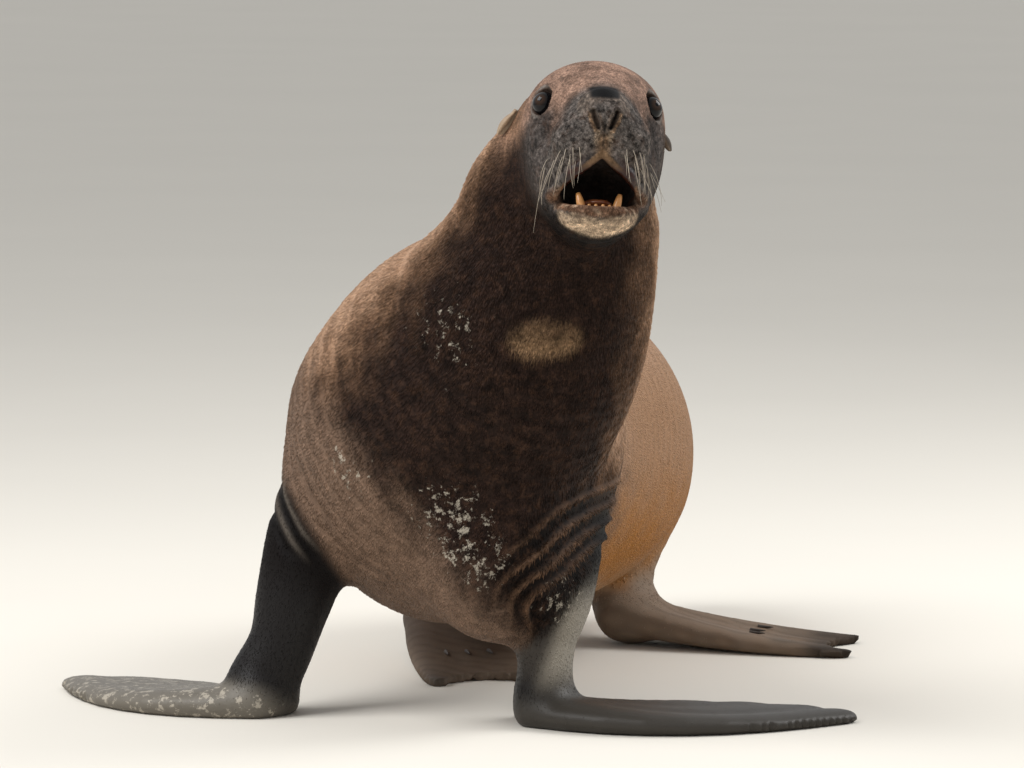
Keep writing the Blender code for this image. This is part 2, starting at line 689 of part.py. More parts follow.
def hind_nails(name, parts):
    """Nails on the upper side of the three middle toes."""
    (x0, y0), heading, mirror, size, _ = BLADES[name.split("_")[0] + "_foot"]
    turn = Matrix.Rotation(math.radians(heading), 2)
    nails = []
    for number, index in enumerate(NAIL_DIGITS, 1):
        line = digit_line(FOOT_DIGITS[index], 50) * size
        at = int(NAIL_ALONG * 50)
        here = turn @ Vector((line[at][0], line[at][1] * mirror))
        ahead = turn @ Vector((line[at + 1][0], line[at + 1][1] * mirror)) - here
        root = Vector((x0 + here.x, y0 + here.y, top_of_skin(x0 + here.x, y0 + here.y)))
        tip = root.xy + ahead.normalized() * NAIL_LENGTH
        tip = Vector((*tip, top_of_skin(*tip) + NAIL_RADIUS))
        item = tapered(f"{name}_nail_{number}", parts, pointing(root, tip - root, "Y"), NAIL_LENGTH,
                       NAIL_RADIUS, NAIL_TIP, 8)
        dress(item, "nail")
        nails.append(item)
    return nails


def collection(name):
    made = bpy.data.collections.new(name)
    bpy.context.scene.collection.children.link(made)
    return made


def build():
    for item in list(bpy.data.objects):
        bpy.data.objects.remove(item)
    parts, cutters = collection("sea_lion"), collection("cutters")
    body = flesh(cutters, parts)
    incisors(body["lower_jaw"], cutters)
    for side in (1, -1):
        seat(eye(side, parts), [body["head"]], cutters)
        seat(canine(side, parts), [body["lower_jaw"]], cutters)
    for name in EARS:
        seat(ear(name, parts), [body["head"], body["neck"]], cutters)
    seat(tongue(parts), [body["lower_jaw"], body["head"]], cutters)
    for name in ("left_hind_flipper", "right_hind_flipper"):
        for nail in hind_nails(name, parts):
            seat(nail, [body[name]], cutters)


build()
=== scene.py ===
"""Looks of the sea lion: one skin over its flesh, a coat of short flat tufts,
eyes, ears, teeth, tongue, whiskers and nails, on a plain pale stage.

The skin is the same smooth field that the solids are cut from, a coat's depth
further in, with the folds and lids that the solids leave out.
"""

import math

import bmesh
import bpy
import numpy as np
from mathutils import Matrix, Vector


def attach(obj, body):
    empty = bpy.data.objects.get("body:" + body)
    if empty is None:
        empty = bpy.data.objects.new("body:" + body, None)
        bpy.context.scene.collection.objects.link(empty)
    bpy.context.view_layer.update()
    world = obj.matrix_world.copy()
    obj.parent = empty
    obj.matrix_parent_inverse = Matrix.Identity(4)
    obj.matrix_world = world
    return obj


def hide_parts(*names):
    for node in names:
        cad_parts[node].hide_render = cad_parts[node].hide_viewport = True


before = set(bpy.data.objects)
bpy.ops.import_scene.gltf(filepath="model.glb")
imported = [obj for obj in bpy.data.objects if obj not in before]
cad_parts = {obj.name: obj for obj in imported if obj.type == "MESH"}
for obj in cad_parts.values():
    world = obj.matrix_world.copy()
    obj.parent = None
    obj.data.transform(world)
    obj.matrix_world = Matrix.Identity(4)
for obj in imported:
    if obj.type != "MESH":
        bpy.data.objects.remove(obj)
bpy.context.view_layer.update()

bl_info = {
    "name": "Sea Lion Looks",
    "version": (1, 0, 0),
    "blender": (4, 5, 0),
    "location": "View3D > Sidebar > Sea Lion",
    "description": "Skin, coat, eyes, teeth and whiskers of a life-size sea lion",
    "category": "Object",
}

# ---------------------------------------------------------------- the body's form
CM = 0.01                          # the head is laid out in centimetres
# Spine from the tail root to the crown.
# x, y, z, half width, height above the line, depth below it, half length
SPINE = (
    (0.120, 0.725, 0.190, 0.065, 0.060, 0.060, 0.07),
    (0.105, 0.625, 0.232, 0.135, 0.135, 0.130, 0.10),
    (0.080, 0.480, 0.300, 0.192, 0.200, 0.212, 0.14),
    (0.056, 0.300, 0.345, 0.228, 0.247, 0.262, 0.18),
    (0.022, 0.100, 0.362, 0.232, 0.250, 0.268, 0.20),
    (0.000, -0.080, 0.384, 0.236, 0.240, 0.274, 0.20),
    (0.000, -0.240, 0.415, 0.256, 0.210, 0.290, 0.17),
    (0.036, -0.350, 0.480, 0.246, 0.185, 0.272, 0.15),
    (0.128, -0.425, 0.570, 0.199, 0.165, 0.232, 0.11),
    (0.172, -0.465, 0.660, 0.178, 0.150, 0.195, 0.08),
    (0.200, -0.495, 0.740, 0.160, 0.138, 0.160, 0.07),
    (0.216, -0.520, 0.800, 0.147, 0.125, 0.135, 0.06),
    (0.240, -0.545, 0.860, 0.122, 0.110, 0.115, 0.05),
    (0.260, -0.565, 0.905, 0.101, 0.080, 0.100, 0.04),
)
WITHERS_CENTRE = (0.070, -0.260, 0.595)    # muscle between neck and back
WITHERS_RADII = (0.165, 0.300, 0.140)
KEEL_CENTRE = (0.105, -0.420, 0.275)       # breast between the arms
KEEL_RADII = (0.125, 0.175, 0.155)
# x, y, z, radius
TAIL = ((0.115, 0.680, 0.185, 0.050), (0.128, 0.765, 0.150, 0.022), (0.134, 0.805, 0.120, 0.010))

# Arms from the shoulder to the wrist, columns as for the spine.
ARMS = {
    "left": (
        (0.150, -0.240, 0.420, 0.110, 0.120, 0.120, 0.10),
        (0.174, -0.335, 0.290, 0.074, 0.105, 0.095, 0.09),
        (0.186, -0.380, 0.195, 0.056, 0.085, 0.080, 0.06),
        (0.174, -0.400, 0.120, 0.044, 0.070, 0.070, 0.05),
        (0.170, -0.410, 0.058, 0.042, 0.060, 0.058, 0.045),
    ),
    "right": (
        (-0.100, -0.250, 0.420, 0.120, 0.120, 0.120, 0.10),
        (-0.192, -0.335, 0.290, 0.074, 0.085, 0.085, 0.09),
        (-0.218, -0.375, 0.190, 0.064, 0.062, 0.062, 0.06),
        (-0.236, -0.395, 0.115, 0.054, 0.050, 0.050, 0.05),
        (-0.264, -0.405, 0.055, 0.054, 0.046, 0.046, 0.045),
    ),
}
# Shanks from the thigh to the ankle: x, y, z, radius
SHANKS = {
    "left": (
        (0.090, 0.540, 0.260, 0.110),
        (0.130, 0.510, 0.160, 0.075),
        (0.155, 0.450, 0.075, 0.046),
        (0.170, 0.425, 0.045, 0.036),
    ),
    "right": (
        (-0.030, 0.480, 0.260, 0.110),
        (-0.090, 0.430, 0.160, 0.075),
        (-0.125, 0.340, 0.075, 0.046),
        (-0.120, 0.300, 0.045, 0.036),
    ),
}
# Digits of a hand and of a foot, first digit first, laid out along +x:
# root, bend and tip (x, y), then half width and half thickness at root and tip.
HAND_DIGITS = (
    ((-0.010, -0.035), (0.200, -0.215), (0.462, 0.000), 0.032, 0.024, 0.024, 0.0085),
    ((0.000, -0.015), (0.200, -0.125), (0.420, 0.042), 0.030, 0.036, 0.022, 0.0070),
    ((0.000, 0.005), (0.170, -0.050), (0.350, 0.072), 0.029, 0.042, 0.020, 0.0065),
    ((0.000, 0.025), (0.130, 0.015), (0.270, 0.090), 0.028, 0.042, 0.018, 0.0065),
    ((-0.005, 0.040), (0.085, 0.065), (0.185, 0.098), 0.027, 0.036, 0.018, 0.0065),
)
FOOT_DIGITS = (
    ((0.000, -0.030), (0.170, -0.070), (0.385, -0.078), 0.026, 0.021, 0.026, 0.0080),
    ((0.000, -0.015), (0.160, -0.035), (0.350, -0.038), 0.022, 0.017, 0.026, 0.0075),
    ((0.000, 0.000), (0.155, 0.000), (0.340, 0.002), 0.021, 0.016, 0.026, 0.0075),
    ((0.000, 0.015), (0.160, 0.035), (0.348, 0.042), 0.022, 0.017, 0.026, 0.0075),
    ((0.000, 0.030), (0.165, 0.070), (0.372, 0.080), 0.025, 0.020, 0.026, 0.0080),
)
BLADE_KINDS = {True: (HAND_DIGITS, 0.030), False: (FOOT_DIGITS, 0.022)}     # hand or not: digits, web
SOLE = 0.80                        # share of a digit's half thickness above the ground
# Where a hand or foot starts, its heading in degrees, which way its fifth
# digit lies, its size, and how far its root is lifted.
BLADES = {
    "left_hand": ((0.170, -0.410), 10.0, 1, 0.975, 0.0),
    "right_hand": ((-0.270, -0.405), 150.0, -1, 0.84, 0.0),
    "left_foot": ((0.155, 0.425), -4.0, 1, 1.00, 0.030),
    "right_foot": ((-0.125, 0.300), -68.0, 1, 1.00, 0.030),
}

# Head frame: origin midway between the eyes, x to its left, y back, z up.
EYES_MIDDLE = np.array((0.291, -0.665, 0.953))
HEAD_YAW, HEAD_PITCH, HEAD_ROLL = math.radians(15), math.radians(18), math.radians(3)
EYE_PLACE, EYE_RADIUS = (7.7, -1.1, -0.8), 1.75
EARS = {                           # root and tip of each
    "left_ear": ((10.2, 7.4, -2.2), (12.0, 9.0, -4.8)),
    "right_ear": ((-11.3, 10.6, 0.4), (-13.6, 12.6, -2.6)),
}
EAR_RADIUS, EAR_SQUASH = 0.95, 0.6
EAR_OPENS, EAR_RIM, EAR_SIDES = math.pi * 0.5, 0.9, 36     # turn of the opening, rims beside it, sides
CANINE_PLACE, CANINE_LENGTH, CANINE_RADIUS = (2.3, -7.0, -16.8), 3.0, 0.62
CANINE_SUNK = 0.50                 # share of a canine below its place
INCISORS, INCISOR_STEP = 4, 0.95
INCISOR_PLACE, INCISOR_CURVE = (-8.0, -18.05), 0.12
INCISOR_LENGTH, INCISOR_RADIUS = 0.95, 0.34
CANINE_UP, INCISOR_UP = np.array((0.0, -0.05, 1.0)), np.array((0.0, -0.1, 1.0))
CANINE_BEND, INCISOR_BEND = (0.12, 0.24, 0.48), (0.1, 0.05, 0.45)      # lean back, spread outward, taper
TONGUE_PLACE, TONGUE_RADII = (0.0, -1.6, -16.4), (2.9, 5.2, 1.1)
# Whiskers: columns in a row, x and z of the first, and x from the first to the last;
# the place ahead of the muzzle, in y, that the search for their roots starts from,
# and how far back it goes, in metres.
WHISKER_COLUMNS, WHISKER_X, WHISKER_Z, WHISKER_SPAN = 5, 3.3, -9.7, 4.4
WHISKER_AHEAD, WHISKER_SEARCH = -16.0, 0.14

EYE_OUT = np.array((0.46, -0.86, 0.16))
GAZE = EYE_OUT / np.linalg.norm(EYE_OUT)
LID_THICKNESS, LID_BLEND, LID_FORWARD, LID_OPENING = 0.28, 1.0, 1.25, 1.86
NOSTRIL = ((1.70, -14.1, -4.9, 0.27), (1.33, -14.0, -6.0, 0.32), (0.85, -13.5, -7.1, 0.24))
NOSE_TIP = (0.0, -12.5, -4.5)
# Boxes that hold each part with room to spare; a blade's box is laid round its start
HEAD_BOX = ((-0.08, -1.05, 0.52), (0.68, -0.28, 1.22))
ARMS_BOX = ((-0.48, -0.66, -0.20), (0.46, 0.05, 0.75))
SHANKS_BOX = ((-0.32, 0.10, -0.20), (0.36, 0.82, 0.56))
TAIL_BOX = ((-0.10, 0.50, -0.10), (0.34, 1.00, 0.40))
BLADE_BOX = ((-0.62, -0.62, -0.20), (0.62, 0.62, 0.26))


# ---------------------------------------------------------------- field
FAR, MARGIN = 1000.0, 0.15         # a field's value where it isn't worked out, and how far out it is


def unit(vector):
    """The vector at length 1."""
    vector = np.asarray(vector, float)
    return vector / np.linalg.norm(vector)


def blend(a, b, reach):
    """Smaller of two fields, rounded where they are within reach of each other."""
    near = np.maximum(reach - np.abs(a - b), 0.0)
    return np.minimum(a, b) - near * near / (4.0 * reach)


def carve(a, b, reach):
    """Field a without field b, its rim rounded."""
    return -blend(-a, b, reach)


def smooth_rows(rows, steps):
    """Rows along a Catmull-Rom curve through the given rows."""
    rows = np.asarray(rows, float)
    padded = np.vstack([2 * rows[0] - rows[1], rows, 2 * rows[-1] - rows[-2]])
    t = (np.arange(steps) / steps)[:, None]
    pieces = []
    for a, b, c, d in zip(padded[:-3], padded[1:-2], padded[2:-1], padded[3:]):
        cubic = (3 * b - a - 3 * c + d) * t**3 + (2 * a - 5 * b + 4 * c - d) * t**2
        pieces.append(b + 0.5 * (cubic + (c - a) * t))
    return np.vstack(pieces + [rows[-1:]])


def ellipsoid_distance(offsets, radii):
    """Near distance to an ellipsoid; each radius is a number or one per point."""
    shares = [offset / radius for offset, radius in zip(offsets, radii)]
    slopes = [share / radius for share, radius in zip(shares, radii)]
    k0 = np.sqrt(sum(share * share for share in shares))
    k1 = np.sqrt(sum(slope * slope for slope in slopes))
    return k0 * (k0 - 1.0) / (k1 + 1e-12)


def ellipsoid(points, centre, radii):
    """Near distance of points to an ellipsoid round a centre."""
    return ellipsoid_distance((points - np.asarray(centre, float)).T, radii)


def sweep(points, rows, steps=8, skip=FAR):
    """Ellipsoids strung along a line; their side axis stays as near +X as it can.

    An ellipsoid is worked out only for places less than skip outside its box.
    """
    rows = smooth_rows(rows, steps)
    along = np.gradient(rows[:, :3], axis=0)
    nearest = np.full(len(points), FAR)
    for row, direction in zip(rows, along):
        direction = unit(direction)
        side = unit(np.array((1.0, 0.0, 0.0)) - direction * direction[0])
        top = np.cross(direction, side)
        away = points - row[:3]
        near = np.flatnonzero(np.abs(away).max(1) < row[3:].max() + skip)
        away = away[near]
        height = away @ top
        radii = (row[3], np.where(height > 0, row[4], row[5]), row[6])
        reach = ellipsoid_distance((away @ side, height, away @ direction), radii)
        nearest[near] = np.minimum(nearest[near], reach)
    return nearest


def within(points, low, high, part):
    """A part's field inside its box, and far away everywhere else."""
    near = ((points > low) & (points < high)).all(1)
    value = np.full(len(points), FAR)
    value[near] = part(points[near])
    return value


def chain(points, rows, steps=4):
    """Tapered rods end to end: rows of x, y, z, radius."""
    rows = smooth_rows(rows, steps)
    nearest = np.full(len(points), np.inf)
    for start, end in zip(rows[:-1], rows[1:]):
        run = end[:3] - start[:3]
        t = np.clip((points - start[:3]) @ run / (run @ run), 0, 1)
        away = points - start[:3] - t[:, None] * run
        away = np.sqrt(np.einsum("ij,ij->i", away, away))
        nearest = np.minimum(nearest, away - (start[3] + (end[3] - start[3]) * t))
    return nearest


def head_axes():
    """Rows are the head's left, back and up directions."""
    level = math.cos(HEAD_PITCH)
    front = np.array((math.sin(HEAD_YAW) * level, -math.cos(HEAD_YAW) * level, math.sin(HEAD_PITCH)))
    left = unit(np.cross((0.0, 0.0, 1.0), front))
    top = np.cross(front, left)
    c, s = math.cos(HEAD_ROLL), math.sin(HEAD_ROLL)
    return np.array((left * c - top * s, -front, top * c + left * s))


def head_place(points):
    """Places in the head frame, in centimetres."""
    return (points - EYES_MIDDLE) @ head_axes().T / CM


def folded(places):
    """The right half of the head folded onto the left."""
    return np.column_stack((np.abs(places[:, 0]), places[:, 1:]))


def mouth_field(m):
    """Hollow of the open mouth: a wide ellipsoid and a narrow one under the palate."""
    wide = ellipsoid(m, (0, -5.0, -13.4), (5.5, 9.5, 4.3))
    return blend(wide, ellipsoid(m, (0, -7.0, -11.4), (3.2, 6.5, 2.0)), 1.0)


def nostril_field(m):
    """Slit that leans inward as it goes down, twice as deep as it is wide."""
    return chain(m * (1.0, 0.4, 1.0), np.array(NOSTRIL) * (1.0, 0.4, 1.0, 1.0))


def head_field(points):
    """Skull, muzzle, lips, lids and jaw around the open mouth, in the head frame."""
    m = folded(head_place(points))
    skull = ellipsoid(m, (0, 5.5, -2.2), (10.4, 12.0, 9.4))
    bridge = sweep(m, (
        (0, 2.0, -1.2, 8.6, 6.2, 6.2, 7.4),
        (0, -4.0, -2.4, 6.4, 5.2, 5.2, 5.8),
        (0, -8.0, -4.0, 4.9, 4.4, 4.4, 4.7),
        (0, -10.6, -4.8, 4.0, 4.0, 4.0, 4.0),
    ))
    head = blend(skull, bridge, 4.0)
    head = blend(head, ellipsoid(m, (3.3, -8.2, -7.8), (4.0, 4.4, 4.4)), 2.0)      # whisker pads
    head = blend(head, ellipsoid(m, (5.9, 3.5, -8.4), (4.3, 7.5, 6.6)), 3.5)       # cheeks
    head = blend(head, ellipsoid(m, (5.0, -3.0, -10.8), (2.8, 5.0, 3.6)), 2.0)     # sides of the mouth
    jaw = chain(m, (
        (5.0, 4.0, -13.6, 2.8),
        (4.9, -1.0, -16.6, 2.2),
        (4.1, -5.0, -17.9, 1.8),
        (2.2, -7.2, -18.3, 1.7),
        (0.0, -7.8, -18.4, 1.7),
    ))
    jaw = blend(jaw, ellipsoid(m, (0, 4.5, -14.5), (6.6, 8.0, 6.4)), 3.0)          # throat
    jaw = blend(jaw, ellipsoid(m, (0, -2.6, -18.8), (5.0, 4.6, 2.9)), 2.0)         # chin
    head = blend(head, jaw, 2.4)
    head = carve(head, mouth_field(m), 0.5)
    lip = chain(m, (
        (0.0, -10.8, -9.6, 1.0),
        (1.3, -10.5, -10.95, 1.0),
        (2.6, -9.9, -11.95, 1.0),
        (4.0, -8.9, -12.85, 1.0),
        (5.3, -7.0, -13.9, 1.05),
        (6.4, -4.4, -14.8, 1.2),
        (6.5, -1.0, -15.6, 1.6),
    ))
    head = blend(head, lip, 1.0)
    head = blend(head, ellipsoid(m, (0, -11.7, -3.9), (3.2, 1.9, 3.0)), 0.9)       # nose pad
    head = carve(head, nostril_field(m), 0.15)
    lids = ellipsoid(m, EYE_PLACE, (EYE_RADIUS + LID_THICKNESS,) * 3)
    head = blend(head, lids, LID_BLEND)
    opening = ellipsoid(m, np.array(EYE_PLACE) + GAZE * LID_FORWARD, (LID_OPENING,) * 3)
    return carve(head, opening, 0.12) * CM


def digit_line(digit, steps=8):
    """Points of a digit's middle line, a quadratic curve from root over bend to tip."""
    root, bend, tip = (np.array(end) for end in digit[:3])
    t = np.linspace(0, 1, steps + 1)[:, None]
    return (1 - t) ** 2 * root + 2 * t * (1 - t) * bend + t * t * tip


def blade_field(points, blade, digits, web):
    """Flat hand or foot: tapering digits side by side, with a web between."""
    (x0, y0), heading, mirror, size, lift = blade
    c, s = math.cos(math.radians(heading)), math.sin(math.radians(heading))
    away_x, away_y = points[:, 0] - x0, points[:, 1] - y0
    flat = np.column_stack((away_x * c + away_y * s, (away_y * c - away_x * s) * mirror))
    hand = np.full(len(points), np.inf)
    for digit in digits:
        width_root, width_tip, thick_root, thick_tip = digit[3:]
        line = digit_line(digit) * size
        steps = len(line) - 1
        nearest = np.full(len(points), np.inf)
        for i, (start, end) in enumerate(zip(line[:-1], line[1:])):
            run = end - start
            t = np.clip((flat - start) @ run / (run @ run), 0, 1)
            along = (i + t) / steps
            width = width_root + (width_tip - width_root) * along
            thick = thick_root + (thick_tip - thick_root) * along
            aside = np.hypot(*(flat - start - t[:, None] * run).T)
            above = points[:, 2] - thick * SOLE - lift * (1 - along) ** 2
            nearest = np.minimum(nearest, ellipsoid_distance((aside, above), (width, thick)))
        hand = nearest if np.isinf(hand).all() else blend(hand, nearest, web)
    return hand


def body_field(points):
    """Signed distance, near enough, to the whole animal's skin."""
    body = sweep(points, SPINE, skip=MARGIN)
    body = blend(body, ellipsoid(points, WITHERS_CENTRE, WITHERS_RADII), 0.12)
    body = blend(body, ellipsoid(points, KEEL_CENTRE, KEEL_RADII), 0.07)
    body = blend(body, within(points, *TAIL_BOX, lambda near: chain(near, TAIL)), 0.03)
    body = blend(body, within(points, *HEAD_BOX, head_field), 0.045)
    for rows in ARMS.values():
        body = blend(body, within(points, *ARMS_BOX, lambda near: sweep(near, rows)), 0.045)
    for name, blade in BLADES.items():
        hand = name.endswith("hand")
        box = (*blade[0], 0.0) + np.array(BLADE_BOX)
        flat = within(points, *box, lambda near: blade_field(near, blade, *BLADE_KINDS[hand]))
        body = blend(body, flat, 0.035 if hand else 0.030)
    for rows in SHANKS.values():
        body = blend(body, within(points, *SHANKS_BOX, lambda near: chain(near, rows)), 0.05)
    return body


# ---------------------------------------------------------------- anatomy
BRANCH = 0.06                      # how softly one stretch of spine gives way to the next
NAPE_PLACE, NAPE_TILT = np.array((0.0, 10.0, -9.0)), math.radians(69.6)
NECK_ROOT, NECK_ROOT_NORMAL = np.array((0.150, -0.430, 0.620)), np.array((0.35, -0.45, 0.82))


def ramp(value, low, high):
    """0 up to low, 1 from high, and smooth between."""
    t = np.clip((value - low) / (high - low), 0.0, 1.0)
    return t * t * (3.0 - 2.0 * t)


def rows_unit(vectors):
    """Each row at length 1."""
    return vectors / np.maximum(np.linalg.norm(vectors, axis=1), 1e-9)[:, None]


def limb_distance(points):
    """Distances to the nearest arm or shank and to the nearest hand or foot."""
    limb = np.full(len(points), np.inf)
    for rows in ARMS.values():
        limb = np.minimum(limb, sweep(points, rows[1:]))
    for rows in SHANKS.values():
        limb = np.minimum(limb, chain(points, rows[1:]))
    flat = np.full(len(points), np.inf)
    for name, blade in BLADES.items():
        flat = np.minimum(flat, blade_field(points, blade, *BLADE_KINDS[name.endswith("hand")]))
    return limb, flat


def anatomy(points):
    """Where places lie on the animal, as smooth numbers.

    Each place takes the weighted mean of the spine stations near it, so the
    length along the spine, the turn around it and the way to the tail all
    change smoothly. The head, limbs and flippers get a share from 0 to 1.
    """
    stations = smooth_rows(SPINE, 4)[:, :3]
    along = rows_unit(np.gradient(stations, axis=0))
    side = rows_unit(np.array((1.0, 0.0, 0.0)) - along * along[:, :1])
    top = np.cross(along, side)
    square = (points**2).sum(1)[:, None] + (stations**2).sum(1) - 2 * points @ stations.T
    weight = np.exp(-(square - square.min(1)[:, None]) / (2 * BRANCH**2))
    weight /= weight.sum(1)[:, None]
    away = points - weight @ stations
    reach = np.maximum(np.linalg.norm(away, axis=1), 1e-6)
    up = (away * (weight @ top)).sum(1) / reach
    out = (away * (weight @ side)).sum(1) / reach
    place = head_place(points)
    nape = (place - NAPE_PLACE) @ np.array((0.0, -math.sin(NAPE_TILT), math.cos(NAPE_TILT)))
    limb, flat = limb_distance(points)
    torso = np.minimum(sweep(points, SPINE, 4), ellipsoid(points, KEEL_CENTRE, KEEL_RADII))
    return {
        "points": points,
        "head": place,
        "folded": folded(place),
        "headness": ramp(nape, -3.0, 3.0),
        "length": weight @ np.linspace(0.0, 1.0, len(stations)),
        "turn": np.arctan2(out, up),
        "up": up,
        "back": -(weight @ along),
        "limb": ramp(torso - np.minimum(limb, flat), -0.015, 0.025),
        "flat": ramp(np.minimum(limb, torso) - flat, -0.02, 0.02) * ramp(0.10 - points[:, 2], 0.0, 0.04),
    }


def lie_of_coat(a):
    """The way the hair lies: away from the nose on the head, tailward, and down the limbs."""
    from_nose = rows_unit(a["head"] - np.array(NOSE_TIP) + np.array((0.0, -1.0, 0.0))) @ head_axes()
    way = a["back"] + np.array((0.0, 0.0, -0.25))
    way = way + (from_nose - way) * a["headness"][:, None]
    down = np.array((0.0, 0.15, -1.0))
    return rows_unit(way + (down - way) * a["limb"][:, None])


def tangent(vectors, normals):
    """Vectors laid onto the surface."""
    return rows_unit(vectors - normals * (vectors * normals).sum(1)[:, None])


# ---------------------------------------------------------------- folds
SHOULDER_CENTRE, SHOULDER_RINGS = (0.312, 0.122), (0.158, 0.180, 0.205, 0.234)
RIDGE_HEIGHT, RIDGE_WIDTH = 0.0034, 0.0048     # half of a ridge's height, and its half width
WIDE_CREASE = 0.02                 # from this half width on, a crease gets no painted shade
CREASES = (                        # lines in x and z on the breast: points, depth, half width
    (((-0.272, 0.400), (-0.244, 0.330), (-0.207, 0.276), (-0.165, 0.227)), 0.0050, 0.008),
    (((-0.284, 0.345), (-0.250, 0.290), (-0.206, 0.235)), 0.0045, 0.007),
    (((-0.215, 0.400), (-0.185, 0.345), (-0.140, 0.290)), 0.0025, 0.008),
    (((-0.035, 0.290), (0.041, 0.206), (0.120, 0.135)), 0.0060, 0.022),
)


def bell(value, width):
    """1 at 0, falling off both ways."""
    return np.exp(-(value / width) ** 2)


def round_shoulder(x, z):
    """Distance from the left shoulder's centre, as seen from the front, and the turn about it."""
    across, above = x - SHOULDER_CENTRE[0], z - SHOULDER_CENTRE[1]
    return np.hypot(across, above), np.arctan2(above, across)


def line_distance(flat, line):
    """Distance in a plane to a line of points, and how far along it, 0 to 1."""
    best, where = np.full(len(flat), np.inf), np.zeros(len(flat))
    line = np.array(line)
    for i, (start, end) in enumerate(zip(line[:-1], line[1:])):
        run = end - start
        t = np.clip((flat - start) @ run / (run @ run), 0, 1)
        away = np.linalg.norm(flat - start - t[:, None] * run, axis=1)
        where = np.where(away < best, (i + t) / (len(line) - 1), where)
        best = np.minimum(best, away)
    return best, where


def folds(a):
    """Depth of folds in metres, below 0 where the skin stands up, the painted shade that darkens their
    hollows, and their crests, which get a painted highlight.

    Each fold is a bell across its line times a ramp at each end of it.
    """
    x, y, z = a["points"].T
    m, flat = a["folded"], a["points"][:, ::2]
    front = ramp(-0.22 - y, 0.0, 0.06)
    depth, dark = np.zeros(len(x)), np.zeros(len(x))

    # Rings of loose skin above the left arm, from 76 degrees round the shoulder
    # to 186 on the innermost and less on each further out.
    ring, turn = round_shoulder(x, z)
    ring = ring + 0.006 * np.sin(9.0 * turn)
    angle = np.degrees(turn)
    ends = 186.0 - 430.0 * (ring - 0.150)
    arc = ramp(angle, 76.0, 98.0) * ramp(ends - angle, 0.0, 30.0) * front * ramp(0.33 - x, 0.0, 0.05)
    zone = ramp(ring, 0.136, 0.152) * ramp(0.262 - ring, 0.0, 0.04) * arc
    ridge = sum(bell(ring - radius, RIDGE_WIDTH) for radius in SHOULDER_RINGS)
    depth += (RIDGE_HEIGHT - 2.0 * RIDGE_HEIGHT * ridge) * zone
    # painted shade in the hollows between the ridges
    dark += 0.95 * zone * (1.0 - ridge)
    # crests of the ridges, for a painted highlight in the markings
    crest = zone * ridge

    for line, deep, wide in CREASES:
        away, where = line_distance(flat, line)
        ends = ramp(where, 0.0, 0.2) * ramp(1.0 - where, 0.0, 0.2)
        pressed = deep * bell(away, wide) * ends * front
        depth += pressed
        # painted shade along the narrow creases
        dark += 70.0 * pressed * (wide < WIDE_CREASE)

    # Furrow under the nose, nostril rims, creases round the jaw and rings round
    # the eyes: m is in centimetres, depth in metres.
    middle = ramp(-5.8 - m[:, 2], 0.0, 0.8) * ramp(m[:, 2] + 11.0, 0.0, 0.8) * ramp(-8.5 - m[:, 1], 0.0, 1.0)
    depth += 0.0022 * bell(m[:, 0], 0.28) * middle
    slit = nostril_field(m)
    depth -= 0.0012 * bell(slit - 0.30, 0.22) * ramp(-9.0 - m[:, 1], 0.0, 1.0)
    jaw = ellipsoid(m, (0, -2.6, -18.8), (5.0, 4.6, 2.9))
    under = ramp(-17.0 - m[:, 2], 0.0, 2.0) * a["headness"]
    depth += 0.0025 * bell(jaw - 1.5, 0.45) * under
    depth += 0.0022 * bell(jaw - 3.1, 0.50) * under
    # painted shade in the creases round the jaw
    dark += 0.5 * (bell(jaw - 1.5, 0.45) + bell(jaw - 3.1, 0.5)) * under
    eye = np.linalg.norm(m - np.array(EYE_PLACE), axis=1)
    depth += 0.0012 * (bell(eye - 2.50, 0.18) + 0.6 * bell(eye - 3.1, 0.22)) * a["headness"]
    # painted shade in the ring round each eye
    dark += 0.40 * bell(eye - 2.50, 0.20) * a["headness"]
    return depth, np.clip(dark, 0.0, 1.0), crest


# ---------------------------------------------------------------- markings
def linear(code):
    """Linear colour of an sRGB hex value."""
    value = np.array([int(code[i:i + 2], 16) for i in (1, 3, 5)]) / 255.0
    return np.where(value <= 0.04045, value / 12.92, ((value + 0.055) / 1.055) ** 2.4)


